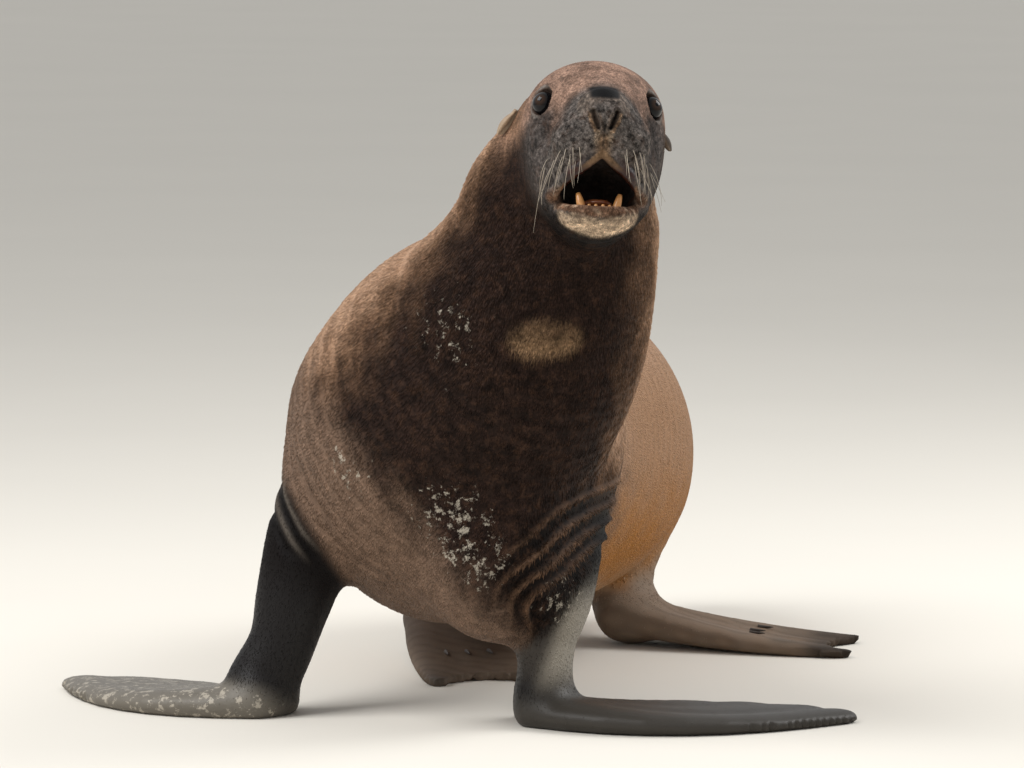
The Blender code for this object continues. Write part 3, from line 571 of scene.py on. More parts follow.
COLOURS = {
    # also the painted shade on the right hind flipper under the belly
    "neck_dark": ("#261a15", "Front of the neck and breast"),
    # also the painted highlight on the crests of the shoulder's rings
    "back_brown": ("#7f614a", "Shoulders and nape"),
    # the back's own paler coat, with painted light from the sky above
    "back_pale_and_skylit": ("#b8957a", "Top of the back and withers"),
    "flank_tan": ("#a58062", "Sides of the body"),
    "golden": ("#a77035", "Low on the flank and belly"),
    "breast_low": ("#7a6353", "Low on the breast"),
    "crown": ("#8f7363", "Forehead and crown"),
    "muzzle_grey": ("#554f4b", "Muzzle and cheeks"),
    "cheek_grey": ("#4c4643", "Cheeks below the eyes"),
    # also the painted shade down the furrow under each eye
    "eye_ring": ("#2b2827", "Round the eyes"),
    # painted highlight: pale grey rims of the wet lids
    "lid_rim_highlight": ("#8d857e", "Rims of the lids"),
    # also the painted shadow under the jaw and the painted shade down the furrow under the nose
    "nose_black": ("#0b0a0b", "Nose pad"),
    "nose_front": ("#5f544b", "Front of the nose"),
    "lip_tan": ("#84694f", "Rim of the upper lip and the furrow above it"),
    "lower_lip": ("#705442", "Lower lip"),
    "chin_pale": ("#cdb499", "Chin"),
    "throat_patch": ("#8a6e52", "Patch on the throat"),
    # inside of the mouth: the flesh's own red-brown, darkened further by painted shade
    "mouth_dark": ("#2e120c", "Inside of the mouth"),
    "gum": ("#a05c34", "Gums"),
    "bare_dark": ("#14100f", "Arms and hands"),
    # also the painted highlight beside the first crease on the breast
    "foot_tan": ("#80766b", "Upper side of the hind flippers"),
    "clumps": ("#5a4030", "Brown clumps in the dark coat"),
    # dried sand on the coat, and the colour of the painted highlight on the left arm's outer edge
    "sandy": ("#b3aa9b", "Dried sand on the coat"),
}
PATCH_CENTRE, PATCH_RADII = (0.212, -0.633, 0.607), (0.055, 0.070, 0.030)
# Centre, reach and share of each dusty place
DUST = (
    ((0.054, -0.600, 0.337), 0.075, 1.0),
    ((0.112, -0.589, 0.270), 0.055, 1.0),
    ((-0.107, -0.547, 0.394), 0.055, 1.0),
    ((0.062, -0.627, 0.620), 0.095, 0.75),
    ((0.200, -0.480, 0.200), 0.065, 0.9),
)


def ripple(points, size, seed):
    """Slow uneven waves from -1 to 1, to fray the edges of markings."""
    ways = np.random.default_rng(seed).normal(size=(6, 3))
    return np.sin(points @ (rows_unit(ways).T * (2 * math.pi / size)) + np.arange(6) * 1.7).mean(1) * 1.6


def markings(a, colours):
    """Colour of skin and coat, some of it painted light and shade, and how dusty, mottled and glossy each
    place is.

    Each marking is a product of ramps and bells over places on the body. The
    numbers are metres for x, y and z, and centimetres in the head frame for hx
    to either side, hy back and hz up.
    """
    points, m = a["points"], a["folded"]
    x, y, z = points.T
    hx, hy, hz = m.T
    fray = ripple(points, 0.06, 3)
    head = a["headness"]
    colour = np.repeat(colours["neck_dark"][None], len(points), 0)

    def paint(name, share):
        """The colour so far goes to the named one by the share, from 0 to 1."""
        colour[:] += (colours[name] - colour) * np.clip(share, 0, 1)[:, None]

    paint("back_brown", 0.85 * ramp(a["up"] + 0.10 * fray, -0.72, -0.06))
    # top of the back lighter: partly the coat's own paler back, partly painted light from the sky above
    paint("back_pale_and_skylit", 0.90 * ramp(a["up"] + 0.10 * fray, -0.34, 0.12))
    rear = ramp(y + 0.03 * fray, -0.16, 0.08) * ramp(0.9 - a["length"], 0.0, 0.2)
    paint("flank_tan", rear * ramp(0.95 - a["up"], 0.0, 0.8))
    paint("golden", rear * ramp(0.37 - z + 0.02 * fray, 0.0, 0.20))
    paint("sandy", rear * ramp(0.19 - z, 0.0, 0.08) * (0.28 + 0.14 * fray))
    low = ramp(0.33 - 1.15 * x - z + 0.025 * fray, -0.07, 0.09) * ramp(-0.10 - y, 0.0, 0.1)
    paint("breast_low", low)
    # painted highlight: the crests of the shoulder's rings a lighter brown
    paint("back_brown", 0.42 * a["crest"])
    patch = ellipsoid(points, PATCH_CENTRE, PATCH_RADII)
    share = ramp(0.005 * fray - patch, -0.008, 0.012)
    paint("throat_patch", share * (0.45 + 0.35 * ramp(PATCH_CENTRE[2] - z, -0.015, 0.015)))

    # head
    paint("muzzle_grey", head * ramp(2.0 - hy, -6.0, 6.0) * 0.75)
    crown = ramp(hz + 0.14 * hx**2 + 0.9 * fray - 0.3, -1.6, 1.2) * ramp(hy, -13.0, -11.0)
    paint("crown", head * crown * ramp(hz + 0.25 * hx, -3.5, 1.0))
    paint("back_brown", head * ramp(hy, 1.0, 6.0) * ramp(hz, -7.0, -1.0) * 0.8)
    cheek = ramp(2.5 - hy, 0.0, 3.0) * ramp(-1.6 - hz, 0.0, 2.0) * ramp(hx - 4.5, 0.0, 1.5)
    paint("cheek_grey", head * cheek * 0.8)
    muzzle = ramp(-4.5 - hy + 0.5 * fray, -1.5, 1.5) * ramp(0.3 - hz - 0.14 * hx**2, -1.0, 1.4)
    paint("muzzle_grey", head * muzzle)
    stripe = bell(hx - 5.55 + 0.18 * hz, 0.75) * ramp(hz + 7.5, 0.0, 2.5) * ramp(2.0 - hz, 0.0, 1.5)
    paint("crown", head * stripe * ramp(-hy, 0.0, 2.0) * 0.55)
    paint("eye_ring", head * bell(hx - 5.4, 0.35) * bell(hz - 2.4, 0.5) * 0.6)
    eye = np.linalg.norm((m - np.array(EYE_PLACE)) * (1.0, 1.0, 0.85), axis=1)
    paint("eye_ring", head * ramp(3.1 + 0.3 * fray - eye, 0.0, 1.0) * 0.75)
    # painted highlight on the rims of the lids
    paint("lid_rim_highlight", head * bell(eye - 2.22, 0.20) * 0.75)
    # painted shade down the furrow under each eye
    furrow = bell(hx - 7.4, 1.0) * ramp(-2.4 - hz, 0.0, 1.0) * ramp(hz + 8.0, 0.0, 3.0) * ramp(2.0 - hy, 0, 2)
    paint("eye_ring", head * furrow * 0.5)
    front = ramp(-8.0 - hy, 0.0, 1.5)
    pad = ellipsoid(m, (0, -11.7, -3.9), (3.2, 1.9, 3.0))
    paint("nose_front", front * ramp(0.9 - pad, 0.0, 0.5) * 0.8)
    arch = ramp(hz + 3.0 - 0.05 * hx**2, -0.25, 0.25) * ramp(0.2 - hz, 0.0, 0.7) * ramp(2.5 - hx, 0.0, 0.7)
    arch *= ramp(-9.2 - hy, 0.0, 0.8)
    paint("nose_black", front * arch)
    slit = nostril_field(m)
    outer = ramp(hx - 1.70 - 0.386 * (hz + 4.9), -0.15, 0.25)
    rim = bell(slit - 0.34, 0.18) * ramp(-4.7 - hz, 0.0, 0.8) * (0.25 + 0.75 * outer)
    paint("lip_tan", front * rim * 0.85)
    paint("chin_pale", front * bell(hx - 0.92, 0.36) * bell(hz + 8.3, 0.75) * 0.6)
    beside = bell(hx - 0.35, 0.40 + 0.40 * ramp(-8.2 - hz, 0.0, 2.0)) * ramp(-7.6 - hz, 0.0, 0.8)
    paint("lip_tan", front * beside * ramp(hz + 11.5, 0.0, 0.8) * 0.7)
    # painted shade: a thin black line down the furrow under the nose
    paint("nose_black", front * bell(hx, 0.11) * ramp(-6.6 - hz, 0.0, 0.8) * ramp(hz + 11.2, 0.0, 0.5) * 0.65)
    paint("nose_black", front * ramp(0.13 - slit, 0.0, 0.08))

    # mouth and chin
    mouth = mouth_field(m)
    upper = ramp(hz + 15.0, -0.6, 0.9)
    lip_edge = -10.7 - 0.85 * hx
    rim = ramp(lip_edge + 0.85 + 0.1 * fray - hz, -0.12, 0.12) * ramp(6.4 - hx, 0.0, 0.8)
    paint("lip_tan", head * upper * rim * ramp(-3.0 - hy, 0, 2) * ramp(2.2 - mouth, 0.0, 0.3))
    edge = -19.3 + 0.060 * hx**2
    jaw = ramp(edge - hz + 0.35 * fray + 0.30 * ripple(points, 0.013, 9), -0.5, 0.6)
    jaw *= ramp(8.5 - hx, 0.0, 1.5) * ramp(-13.0 - hz, 0.0, 1.0)
    blots = ripple(points, 0.016, 8)
    paint("chin_pale", head * jaw * ramp(-4.3 - hy + 0.6 * fray, -0.8, 0.8) * (0.92 + 0.08 * blots))
    # painted shadow under the jaw, between the chin and the neck
    under = jaw * ramp(hy + 4.7, -0.8, 0.8) * ramp(9.0 - hy, 0.0, 3.0)
    paint("nose_black", head * under * 0.8)
    lower = (1 - upper) * ramp(hz - edge, -0.2, 0.4) * ramp(-3.0 - hy, 0.0, 1.5)
    lower *= ramp(hx * 0.9 - 6.6, 0.6, 0.0)
    paint("lower_lip", head * lower)
    paint("chin_pale", head * lower * ramp(ripple(points, 0.015, 10), 0.1, 0.9) * 0.45)
    paint("gum", head * (1 - upper) * ramp(0.35 - mouth, 0.0, 0.3))
    # inside of the mouth: red-brown flesh with painted shade, darkened nearly to black
    inside = ramp(0.12 - mouth, 0.0, 0.25) * ramp(hy + 11.5, 0.0, 1.5)
    paint("mouth_dark", head * inside)

    # limbs
    limb, flat = a["limb"], a["flat"]
    fore = ramp(-0.05 - y, 0.0, 0.1)
    paint("bare_dark", np.maximum(limb, flat) * fore)
    ring, _ = round_shoulder(x, z)
    paint("bare_dark", fore * ramp(0.165 - ring, 0.0, 0.03) * ramp(x, 0.05, 0.1) * 0.8)
    left_arm = limb * fore * ramp(x, 0.0, 0.1)
    paint("foot_tan", left_arm * ramp(0.19 - z, 0.0, 0.08) * ramp(z, 0.05, 0.10) * 0.22)
    # the left arm's pale outer edge: partly dried sand, partly a painted highlight
    outer = ramp(x - 0.217 + 0.35 * (0.22 - z), -0.008, 0.022) * limb * ramp(z, 0.04, 0.10) * fore
    paint("sandy", outer * ramp(0.235 - z, 0.0, 0.07) * 0.75)
    # painted highlight: a lighter line beside the first crease on the breast
    away, where = line_distance(points[:, ::2], CREASES[0][0])
    edges = bell(away - 0.011, 0.004) * ramp(where, 0.0, 0.25) * ramp(0.95 - where, 0.0, 0.35)
    paint("foot_tan", 0.5 * edges * ramp(-0.22 - y, 0.0, 0.06))
    paint("sandy", flat * fore * (0.10 + 0.30 * ramp(-0.10 - x, 0.0, 0.2)))
    hind = np.maximum(limb, flat) * (1 - fore)
    paint("foot_tan", hind * 0.75 * ramp(0.17 - z, 0.0, 0.08))
    streaks = ramp(np.sin(190.0 * y + 45.0 * x + 1.5 * fray), 0.0, 1.0)
    paint("neck_dark", flat * (1 - fore) * streaks * 0.22)
    # painted shade: the right hind flipper, under the belly, darkened
    paint("neck_dark", hind * ramp(0.10 - x, 0.0, 0.12) * ramp(z, -0.02, 0.05) * 0.75)
    tips = flat * (1 - fore) * ramp(x + 0.02 * fray, 0.38, 0.56)
    paint("bare_dark", tips * 0.9)
    # painted shade in the folds and creases, from folds()
    colour *= (1.0 - 0.80 * a["dark"])[:, None]

    gloss = np.maximum(limb * 0.60 * ramp(0.26 - z, 0.0, 0.12), flat * 0.5) * fore
    gloss = np.maximum(gloss, head * np.maximum(inside, 0.1 * front * arch))
    dusty = 0.12 * (1 - head) + limb * fore * 0.22 + flat * ramp(-0.10 - x, 0.0, 0.2) * fore * 0.8
    dusty += rear * ramp(0.17 - z, 0.0, 0.06) * (1 - limb) * 0.7
    for place, reach, share in DUST:
        dusty += share * bell(points - place, reach).prod(1)
    mottle = (1 - limb) * (0.35 + 0.65 * ramp(0.3 - a["up"], 0, 0.8)) * (1 - 0.85 * rear) * (1 - 0.55 * low)
    mottle = np.clip(mottle + head * np.maximum(muzzle, cheek), 0, 1) * (1 - front * np.maximum(arch, inside))
    speckle = head * np.maximum(muzzle, 0.7 * cheek) * (1 - front * arch) * (1 - rim) * ramp(slit, 0.1, 0.3)
    speckle = np.maximum(speckle, 0.55 * head * np.maximum(jaw, lower) * ramp(-3.0 - hy, 0.0, 1.0))
    hairless = np.maximum.reduce([
        flat * 0.9,
        limb * 0.3,
        front * np.maximum(ramp(0.75 - pad, 0.0, 0.4), arch),
        head * ramp(0.6 - mouth, 0, 0.4),
        head * ramp(2.5 - eye, 0.0, 0.3),
    ])
    return {"coat_colour": colour, "dust": np.clip(dusty, 0, 1), "mottle": mottle, "speckle": speckle,
            "gloss": np.clip(gloss, 0, 1), "hairless": np.clip(hairless, 0, 1)}


# ---------------------------------------------------------------- mesh tools
def new_mesh(name, points, faces):
    """Mesh of faces that all have the same number of corners, shaded smooth."""
    mesh = bpy.data.meshes.new(name)
    count, corners = faces.shape
    mesh.vertices.add(len(points))
    mesh.vertices.foreach_set("co", np.ascontiguousarray(points, np.float32).ravel())
    mesh.loops.add(count * corners)
    mesh.loops.foreach_set("vertex_index", np.ascontiguousarray(faces, np.int32).ravel())
    mesh.polygons.add(count)
    mesh.polygons.foreach_set("loop_start", np.arange(0, count * corners, corners, dtype=np.int32))
    mesh.polygons.foreach_set("use_smooth", np.ones(count, bool))
    mesh.update(calc_edges=True)
    return mesh


def mesh_rows(source, name):
    """Three numbers for each vertex: one row per vertex."""
    values = np.empty(3 * len(source), np.float32)
    source.foreach_get(name, values)
    return values.reshape(-1, 3).astype(float)


def mesh_points(mesh):
    """Places of a mesh's vertices."""
    return mesh_rows(mesh.vertices, "co")


def mesh_normals(mesh):
    """Normals of a mesh's vertices."""
    return mesh_rows(mesh.vertex_normals, "vector")


def place_points(mesh, points):
    """Moves a mesh's vertices to new places."""
    mesh.vertices.foreach_set("co", np.ascontiguousarray(points, np.float32).ravel())
    mesh.update()


def evaluated(name, mesh, kind, **settings):
    """The mesh after one modifier."""
    item = bpy.data.objects.new(name, mesh)
    bpy.context.scene.collection.objects.link(item)
    modifier = item.modifiers.new(kind.title(), kind)
    for key, value in settings.items():
        setattr(modifier, key, value)
    result = bpy.data.meshes.new_from_object(item.evaluated_get(bpy.context.evaluated_depsgraph_get()))
    bpy.data.objects.remove(item)
    return result


def put_attributes(mesh, values):
    """One colour or number for each vertex."""
    for name, value in values.items():
        if value.ndim == 2:
            layer = mesh.attributes.new(name, "FLOAT_COLOR", "POINT")
            rgba = np.column_stack((value, np.ones(len(value)))).astype(np.float32)
            layer.data.foreach_set("color", rgba.ravel())
        else:
            layer = mesh.attributes.new(name, "FLOAT", "POINT")
            layer.data.foreach_set("value", value.astype(np.float32))


def piece(name, mesh, material, replaced=()):
    """Finished piece that rides on the one body."""
    item = bpy.data.objects.new(name, mesh)
    bpy.context.scene.collection.objects.link(item)
    mesh.materials.clear()
    mesh.materials.append(material)
    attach(item, "root")
    if replaced:
        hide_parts(*replaced)
    return item


def tube_faces(rings, sides):
    """Triangles between rings of points, ring after ring, and the two points at the ends that follow them."""
    r, s = np.meshgrid(np.arange(rings - 1), np.arange(sides), indexing="ij")
    r, s, t = r.ravel(), s.ravel(), (s.ravel() + 1) % sides
    quads = np.column_stack((r * sides + s, r * sides + t, (r + 1) * sides + t, (r + 1) * sides + s))
    s, t = np.arange(sides), (np.arange(sides) + 1) % sides
    start, last = rings * sides, (rings - 1) * sides
    fans = np.concatenate((np.column_stack((t, s, np.full(sides, start))),
                           np.column_stack((last + s, last + t, np.full(sides, start + 1)))))
    return np.concatenate((quads[:, [0, 1, 2]], quads[:, [0, 2, 3]], fans))


def rounds(paths, radii, sides, squash=1.0, groove=None):
    """Round bars along many paths at once, closed at both ends.

    paths is bars x rows x 3 and radii bars x rows. Point (b, r, s) is the
    path's point plus the radius times the cosine and sine of turn s along two
    directions square to the path.
    """
    bars, rows = radii.shape
    along = np.gradient(paths, axis=1)
    along /= np.linalg.norm(along, axis=2, keepdims=True)
    first = np.cross(along, np.array((0.31, 0.17, 0.93)))
    first /= np.linalg.norm(first, axis=2, keepdims=True)
    second = np.cross(along, first)
    turn = 2 * math.pi * np.arange(sides) / sides
    reach = radii[:, :, None] * (np.ones(sides) if groove is None else groove(turn))
    ring = first[:, :, None] * (np.cos(turn) * reach)[..., None] + second[:, :, None] * (
        np.sin(turn) * reach * squash)[..., None]
    grid = (paths[:, :, None] + ring).reshape(bars, -1, 3)
    ends = paths[:, [0, -1]]
    points = np.concatenate((grid, ends), 1)
    split = tube_faces(rows, sides)
    faces = (split[None] + (np.arange(bars) * points.shape[1])[:, None, None]).reshape(-1, 3)
    return points.reshape(-1, 3), faces


def outward(points, faces):
    """The same triangles, all turned the other way if the shape is inside out."""
    a, b, c = points[faces].transpose(1, 0, 2)
    return faces if (np.cross(a, b) * c).sum() > 0 else faces[:, ::-1]


def ball(rows, sides, shape):
    """Closed ball-like surface; shape turns unit directions (rows x sides x 3) into places.

    The first and last rows are the two poles, each one shared vertex.
    """
    polar = np.linspace(0, math.pi, rows)[1:-1, None]
    turn = 2 * math.pi * np.arange(sides)[None] / sides
    grid = np.stack((np.sin(polar) * np.cos(turn), np.sin(polar) * np.sin(turn),
                     np.cos(polar) * np.ones_like(turn)), -1).reshape(-1, 3)
    units = np.vstack((grid, (0, 0, 1), (0, 0, -1)))
    return shape(units), tube_faces(rows - 2, sides), units


# ---------------------------------------------------------------- skin
CELL = 0.009                       # grid step of the skin, halved up to three times by wants_level
BODY_LOW, BODY_HIGH = np.array((-0.70, -0.88, -0.03)), np.array((0.72, 0.88, 1.05))
FLOOR = 0.0004                     # lowest that skin and coat come
COAT_DEPTH, SHEET = 0.0030, 0.0003  # how far the skin lies in where it is furred, and everywhere
SKIN_TRIANGLES = 192000            # most that the finished skin may have


def skin_field(points):
    """The flesh's field, a coat's depth further in where the animal is furred."""
    place = head_place(points)
    bare = ramp(0.13 - points[:, 2], 0.0, 0.08)
    face = ramp(-6.0 - place[:, 1], 0.0, 3.0) * ramp(points[:, 2], 0.6, 0.7)
    depth = COAT_DEPTH * (1 - np.maximum(bare, 0.7 * face)) + SHEET
    return np.maximum(body_field(points) + depth, FLOOR - points[:, 2])


def sampled(low, high, cell, block=4):
    """Field on a grid, worked out finely only in blocks that the surface may cross."""
    blocks = np.ceil((high - low) / (cell * block)).astype(int)
    index = np.stack(np.meshgrid(*(np.arange(n) for n in blocks), indexing="ij"), -1).reshape(-1, 3)
    rough = skin_field(low + (index + 0.5) * block * cell - 0.5 * cell)
    grid = rough.reshape(blocks)
    for axis in range(3):
        grid = np.repeat(grid, block, axis)
    near = index[np.abs(rough) < block * cell * 1.15] * block
    inner = np.stack(np.meshgrid(*[np.arange(block)] * 3, indexing="ij"), -1).reshape(-1, 3)
    cells = (near[:, None] + inner).reshape(-1, 3)
    value = np.concatenate([skin_field(low + part * cell) for part in np.array_split(cells, 8)])
    grid[tuple(cells.T)] = value
    return grid


def surface_net(low, high, cell):
    """Quads of the field's zero level.

    Every grid cell that the surface crosses gets one vertex, the mean of the
    crossings on its edges, and every crossed edge gets the quad of the four
    cells around it.
    """
    value = sampled(low, high, cell)
    for axis in range(3):
        border = np.moveaxis(value, axis, 0)
        border[0] = border[-1] = np.maximum(border[0], 1.0)
    owners, crossings, quads = [], [], []
    for axis in range(3):
        step = np.eye(3, dtype=int)[axis]
        near, far = np.roll(np.eye(3, dtype=int), -axis, 0)[1:]
        first, second = np.delete(value, -1, axis), np.delete(value, 0, axis)
        edges = np.argwhere((first < 0) != (second < 0))
        a, b = first[tuple(edges.T)], second[tuple(edges.T)]
        ring = edges[:, None, :] - np.array((0 * near, near, near + far, far))
        ring = np.ravel_multi_index(np.moveaxis(ring, -1, 0), value.shape)
        quads.append(np.where((a < 0)[:, None], ring, ring[:, ::-1]))
        owners.append(ring.ravel())
        crossings.append(np.repeat(edges + step * (a / (a - b))[:, None], 4, 0))
    used, place = np.unique(np.concatenate(owners), return_inverse=True)
    crossings = np.concatenate(crossings)
    total = np.stack([np.bincount(place, crossings[:, i]) for i in range(3)], 1)
    return low + total / np.bincount(place)[:, None] * cell, np.searchsorted(used, np.concatenate(quads))


def settle(points, chosen, size, step=1e-4):
    """Chosen points near the field's zero level moved along its slope onto it, twice.

    Near is 0.6 of the face size, or 2.2 on the head, where the lips and lids are sharp.
    """
    at = np.flatnonzero(chosen)
    value = skin_field(points[at])
    reach = size * np.where(wants_level(points[at], 1), 2.2, 0.6)
    near = np.abs(value) < reach
    at, value, reach = at[near], value[near], reach[near, None]
    moved = points[at]
    slope = np.stack([skin_field(moved + step * axis) - value for axis in np.eye(3)], 1) / step
    slope /= np.maximum((slope**2).sum(1), 0.25)[:, None]
    moved = moved - np.clip(slope * value[:, None], -reach, reach)
    points[at] = moved - np.clip(slope * skin_field(moved)[:, None], -reach, reach)
    return points


def wants_level(points, level):
    """Which places need their faces halved once more.

    Level 0 is the head, the folds, the crease above the right arm and all that
    lies near the ground, level 1 the face and the folds' rings, level 2 the
    eyes and the nose.
    """
    m = folded(head_place(points))
    x, y, z = points.T
    ring, _ = round_shoulder(x, z)
    if level == 0:
        folded_skin = (y < -0.22) & (ring < 0.29) & (z > 0.10)
        crease = (y < -0.25) & (x < -0.12) & (z > 0.2) & (z < 0.42)
        return (m[:, 1] < 10) & (m[:, 2] > -26) | folded_skin | crease | (z < 0.075)
    if level == 1:
        ringed = (ring > 0.14) & (ring < 0.28) & (y < -0.24) & (x > 0.02) & (x < 0.34) & (z > 0.11)
        return ((m[:, 1] < 3.0) & (m[:, 2] > -22.5) & (y < -0.45)) | ringed
    eye = np.linalg.norm(m - np.array(EYE_PLACE), axis=1)
    nose = np.linalg.norm((m - np.array((0.0, -13.0, -6.0))) * (1.0, 1.0, 0.8), axis=1)
    return (eye < 3.1) | (nose < 3.9)


def refine(mesh, level):
    """Faces that need it are cut in four."""
    corners = mesh_points(mesh)
    chosen = wants_level(corners, level)
    bm = bmesh.new()
    bm.from_mesh(mesh)
    edges = [edge for edge in bm.edges if chosen[edge.verts[0].index] and chosen[edge.verts[1].index]]
    bmesh.ops.subdivide_edges(bm, edges=edges, cuts=1, use_grid_fill=True)
    bm.to_mesh(mesh)
    bm.free()


def evened(mesh, points, chosen, times=3):
    """Chosen points moved half of the way to the mean of their neighbours, a few times."""
    links = np.empty(2 * len(mesh.edges), np.int32)
    mesh.edges.foreach_get("vertices", links)
    a, b = links.reshape(-1, 2).T
    a, b = np.concatenate((a, b)), np.concatenate((b, a))
    count = np.maximum(np.bincount(a, minlength=len(points)), 1)
    for _ in range(times):
        mean = np.stack([np.bincount(a, points[b, i], len(points)) for i in range(3)], 1) / count[:, None]
        points[chosen] += 0.5 * (mean - points)[chosen]
    return points


def skin_mesh():
    """The body's whole skin, finest round the eyes and nose, with its folds pressed in."""
    points, quads = surface_net(BODY_LOW, BODY_HIGH, CELL)
    rough = new_mesh("rough_skin", points, quads)
    mesh = evaluated("rough_skin", rough, "REMESH", mode="VOXEL", voxel_size=CELL, use_smooth_shade=True)
    size = CELL
    for level in range(4):
        points = mesh_points(mesh)
        chosen = wants_level(points, level - 1) if level else np.ones(len(points), bool)
        if level:
            points = evened(mesh, points, chosen & wants_level(points, 1))
        place_points(mesh, settle(points, chosen, size))
        if level < 3:
            refine(mesh, level)
            size /= 2
    points = evened(mesh, mesh_points(mesh), wants_level(mesh_points(mesh), 1), 2)
    place_points(mesh, points)
    normals = mesh_normals(mesh)
    where = anatomy(points)
    # the folds' painted shade and their crests go on to the markings
    depth, where["dark"], where["crest"] = folds(where)
    mesh.polygons.foreach_set("use_smooth", np.ones(len(mesh.polygons), bool))
    place_points(mesh, points - normals * depth[:, None])
    mesh.name = "skin"
    return mesh, where


def thinned(mesh, most):
    """The mesh with its flattest places collapsed until it has no more than so many triangles."""
    mesh.calc_loop_triangles()
    return evaluated("whole_skin", mesh, "DECIMATE", ratio=min(1.0, most / len(mesh.loop_triangles)))


# ---------------------------------------------------------------- coat
# Coat pieces: tufts per square metre, then length, width and lift in
# millimetres, then how much tufts differ in brightness.
COAT = {
    "coat_face": (330000, 4.0, 1.1, 0.35, 0.36),
    "coat_crown": (200000, 6.0, 1.6, 0.45, 0.25),
    "coat_neck": (90000, 11.0, 2.7, 0.80, 0.15),
    "coat_breast": (88000, 10.5, 2.7, 0.75, 0.15),
    "coat_left_side": (70000, 11.0, 3.0, 0.24, 0.07),
    "coat_right_side": (70000, 11.0, 3.0, 0.24, 0.07),
    "coat_hips": (70000, 10.5, 3.0, 0.24, 0.07),
    "coat_limbs": (80000, 5.5, 2.0, 0.40, 0.15),
}
TUFT_LIMIT = 32500                 # tufts in one coat piece
# A tuft: five points (along, across, up) as shares of its length, width and lift
TUFT = np.array((
    (-0.15, 0.0, -0.5),
    (0.35, 0.5, 0.15),
    (0.35, -0.5, 0.15),
    (0.42, 0.0, 0.75),
    (1.0, 0.0, 1.0),
))
TUFT_FACES = np.array(((0, 2, 3), (0, 3, 1), (4, 3, 2), (4, 1, 3), (0, 1, 2), (4, 2, 1)))
PATCH = 0.0015                     # half of a tuft's patch on the coat's map
PATCH_UV = np.array(((0.0, -1.0), (-1.0, 0.0), (1.0, 0.0), (0.0, 0.0), (0.0, 1.0))) * PATCH


def coat_part(a):
    """Number of the coat piece that each place belongs to."""
    names = list(COAT)
    y = a["points"][:, 1]
    part = np.full(len(y), names.index("coat_right_side"))
    part[a["turn"] > 0] = names.index("coat_left_side")
    part[y > 0.30] = names.index("coat_hips")
    part[y < -0.20] = names.index("coat_breast")
    part[(a["points"] - NECK_ROOT) @ NECK_ROOT_NORMAL > 0] = names.index("coat_neck")
    part[a["headness"] > 0.5] = names.index("coat_crown")
    part[(a["headness"] > 0.5) & (a["head"][:, 1] < 2.5)] = names.index("coat_face")
    part[np.maximum(a["limb"], a["flat"]) > 0.5] = names.index("coat_limbs")
    return part


def chart(name, a):
    """Unwrap of the skin under one coat piece, from 0 to 1 both ways.

    Trunk and neck unroll as turn round the spine by length along it, the head
    from its nose outward, and the limbs as heading and place along the ground.
    """
    if name in ("coat_face", "coat_crown"):
        way = rows_unit(a["head"] - np.array((0.0, 2.0, -6.0)))
        polar = np.arccos(np.clip(-way[:, 1], -1, 1))
        turn = np.arctan2(way[:, 2], way[:, 0])
        flat = np.column_stack((polar * np.cos(turn), polar * np.sin(turn)))
    elif name == "coat_limbs":
        x, y, z = a["points"].T
        inner = np.where(y < 0, np.where(x > 0, 0.18, -0.22), np.where(x > 0.02, 0.15, -0.11))
        middle = np.where(y < 0, -0.37, 0.42)
        quarter = 2.2 * (x > 0) + 1.1 * (y > 0)
        heading = np.arctan2(y - middle, x - inner) / math.pi
        flat = np.column_stack((heading + 2.2 * quarter, z + np.abs(x - inner)))
    else:
        flat = np.column_stack((a["turn"], a["length"] * 8.0))
    low, high = flat.min(0), flat.max(0)
    return 0.01 + 0.98 * (flat - low) / (high - low)


def carried(value, corners, share):
    """A value at places inside triangles, from the value at their corners."""
    return (value[corners] * (share if value.ndim == 2 else share[..., 0])).sum(1)


def scatter(mesh, density, rng):
    """Random places on the mesh's triangles, so many per square metre of each."""
    mesh.calc_loop_triangles()
    corners = np.empty(3 * len(mesh.loop_triangles), np.int32)
    mesh.loop_triangles.foreach_get("vertices", corners)
    corners = corners.reshape(-1, 3)
    points, normals = mesh_points(mesh), mesh_normals(mesh)
    a, b, c = points[corners].transpose(1, 0, 2)
    area = np.linalg.norm(np.cross(b - a, c - a), axis=1) / 2
    wanted = area * density[corners].mean(1)
    count = np.floor(wanted + rng.random(len(wanted))).astype(int)
    at = np.repeat(np.arange(len(corners)), count)
    u, v = rng.random((2, len(at)))
    flip = u + v > 1
    u, v = np.where(flip, 1 - u, u), np.where(flip, 1 - v, v)
    share = np.stack((1 - u - v, u, v), 1)[..., None]
    corners = corners[at]
    return carried(points, corners, share), rows_unit(carried(normals, corners, share)), corners, share


def tufts(roots, normals, lie, length, width, lift):
    """Closed five-point slivers that lie along the skin, buried at the root."""
    across = np.cross(normals, lie)
    size = np.stack((length, width, lift), 1)[:, None] * TUFT[None]
    points = (roots[:, None] + lie[:, None] * size[..., :1] + across[:, None] * size[..., 1:2]
              + normals[:, None] * size[..., 2:])
    faces = TUFT_FACES[None] + (np.arange(len(roots)) * len(TUFT))[:, None, None]
    return points.reshape(-1, 3), faces.reshape(-1, 3)


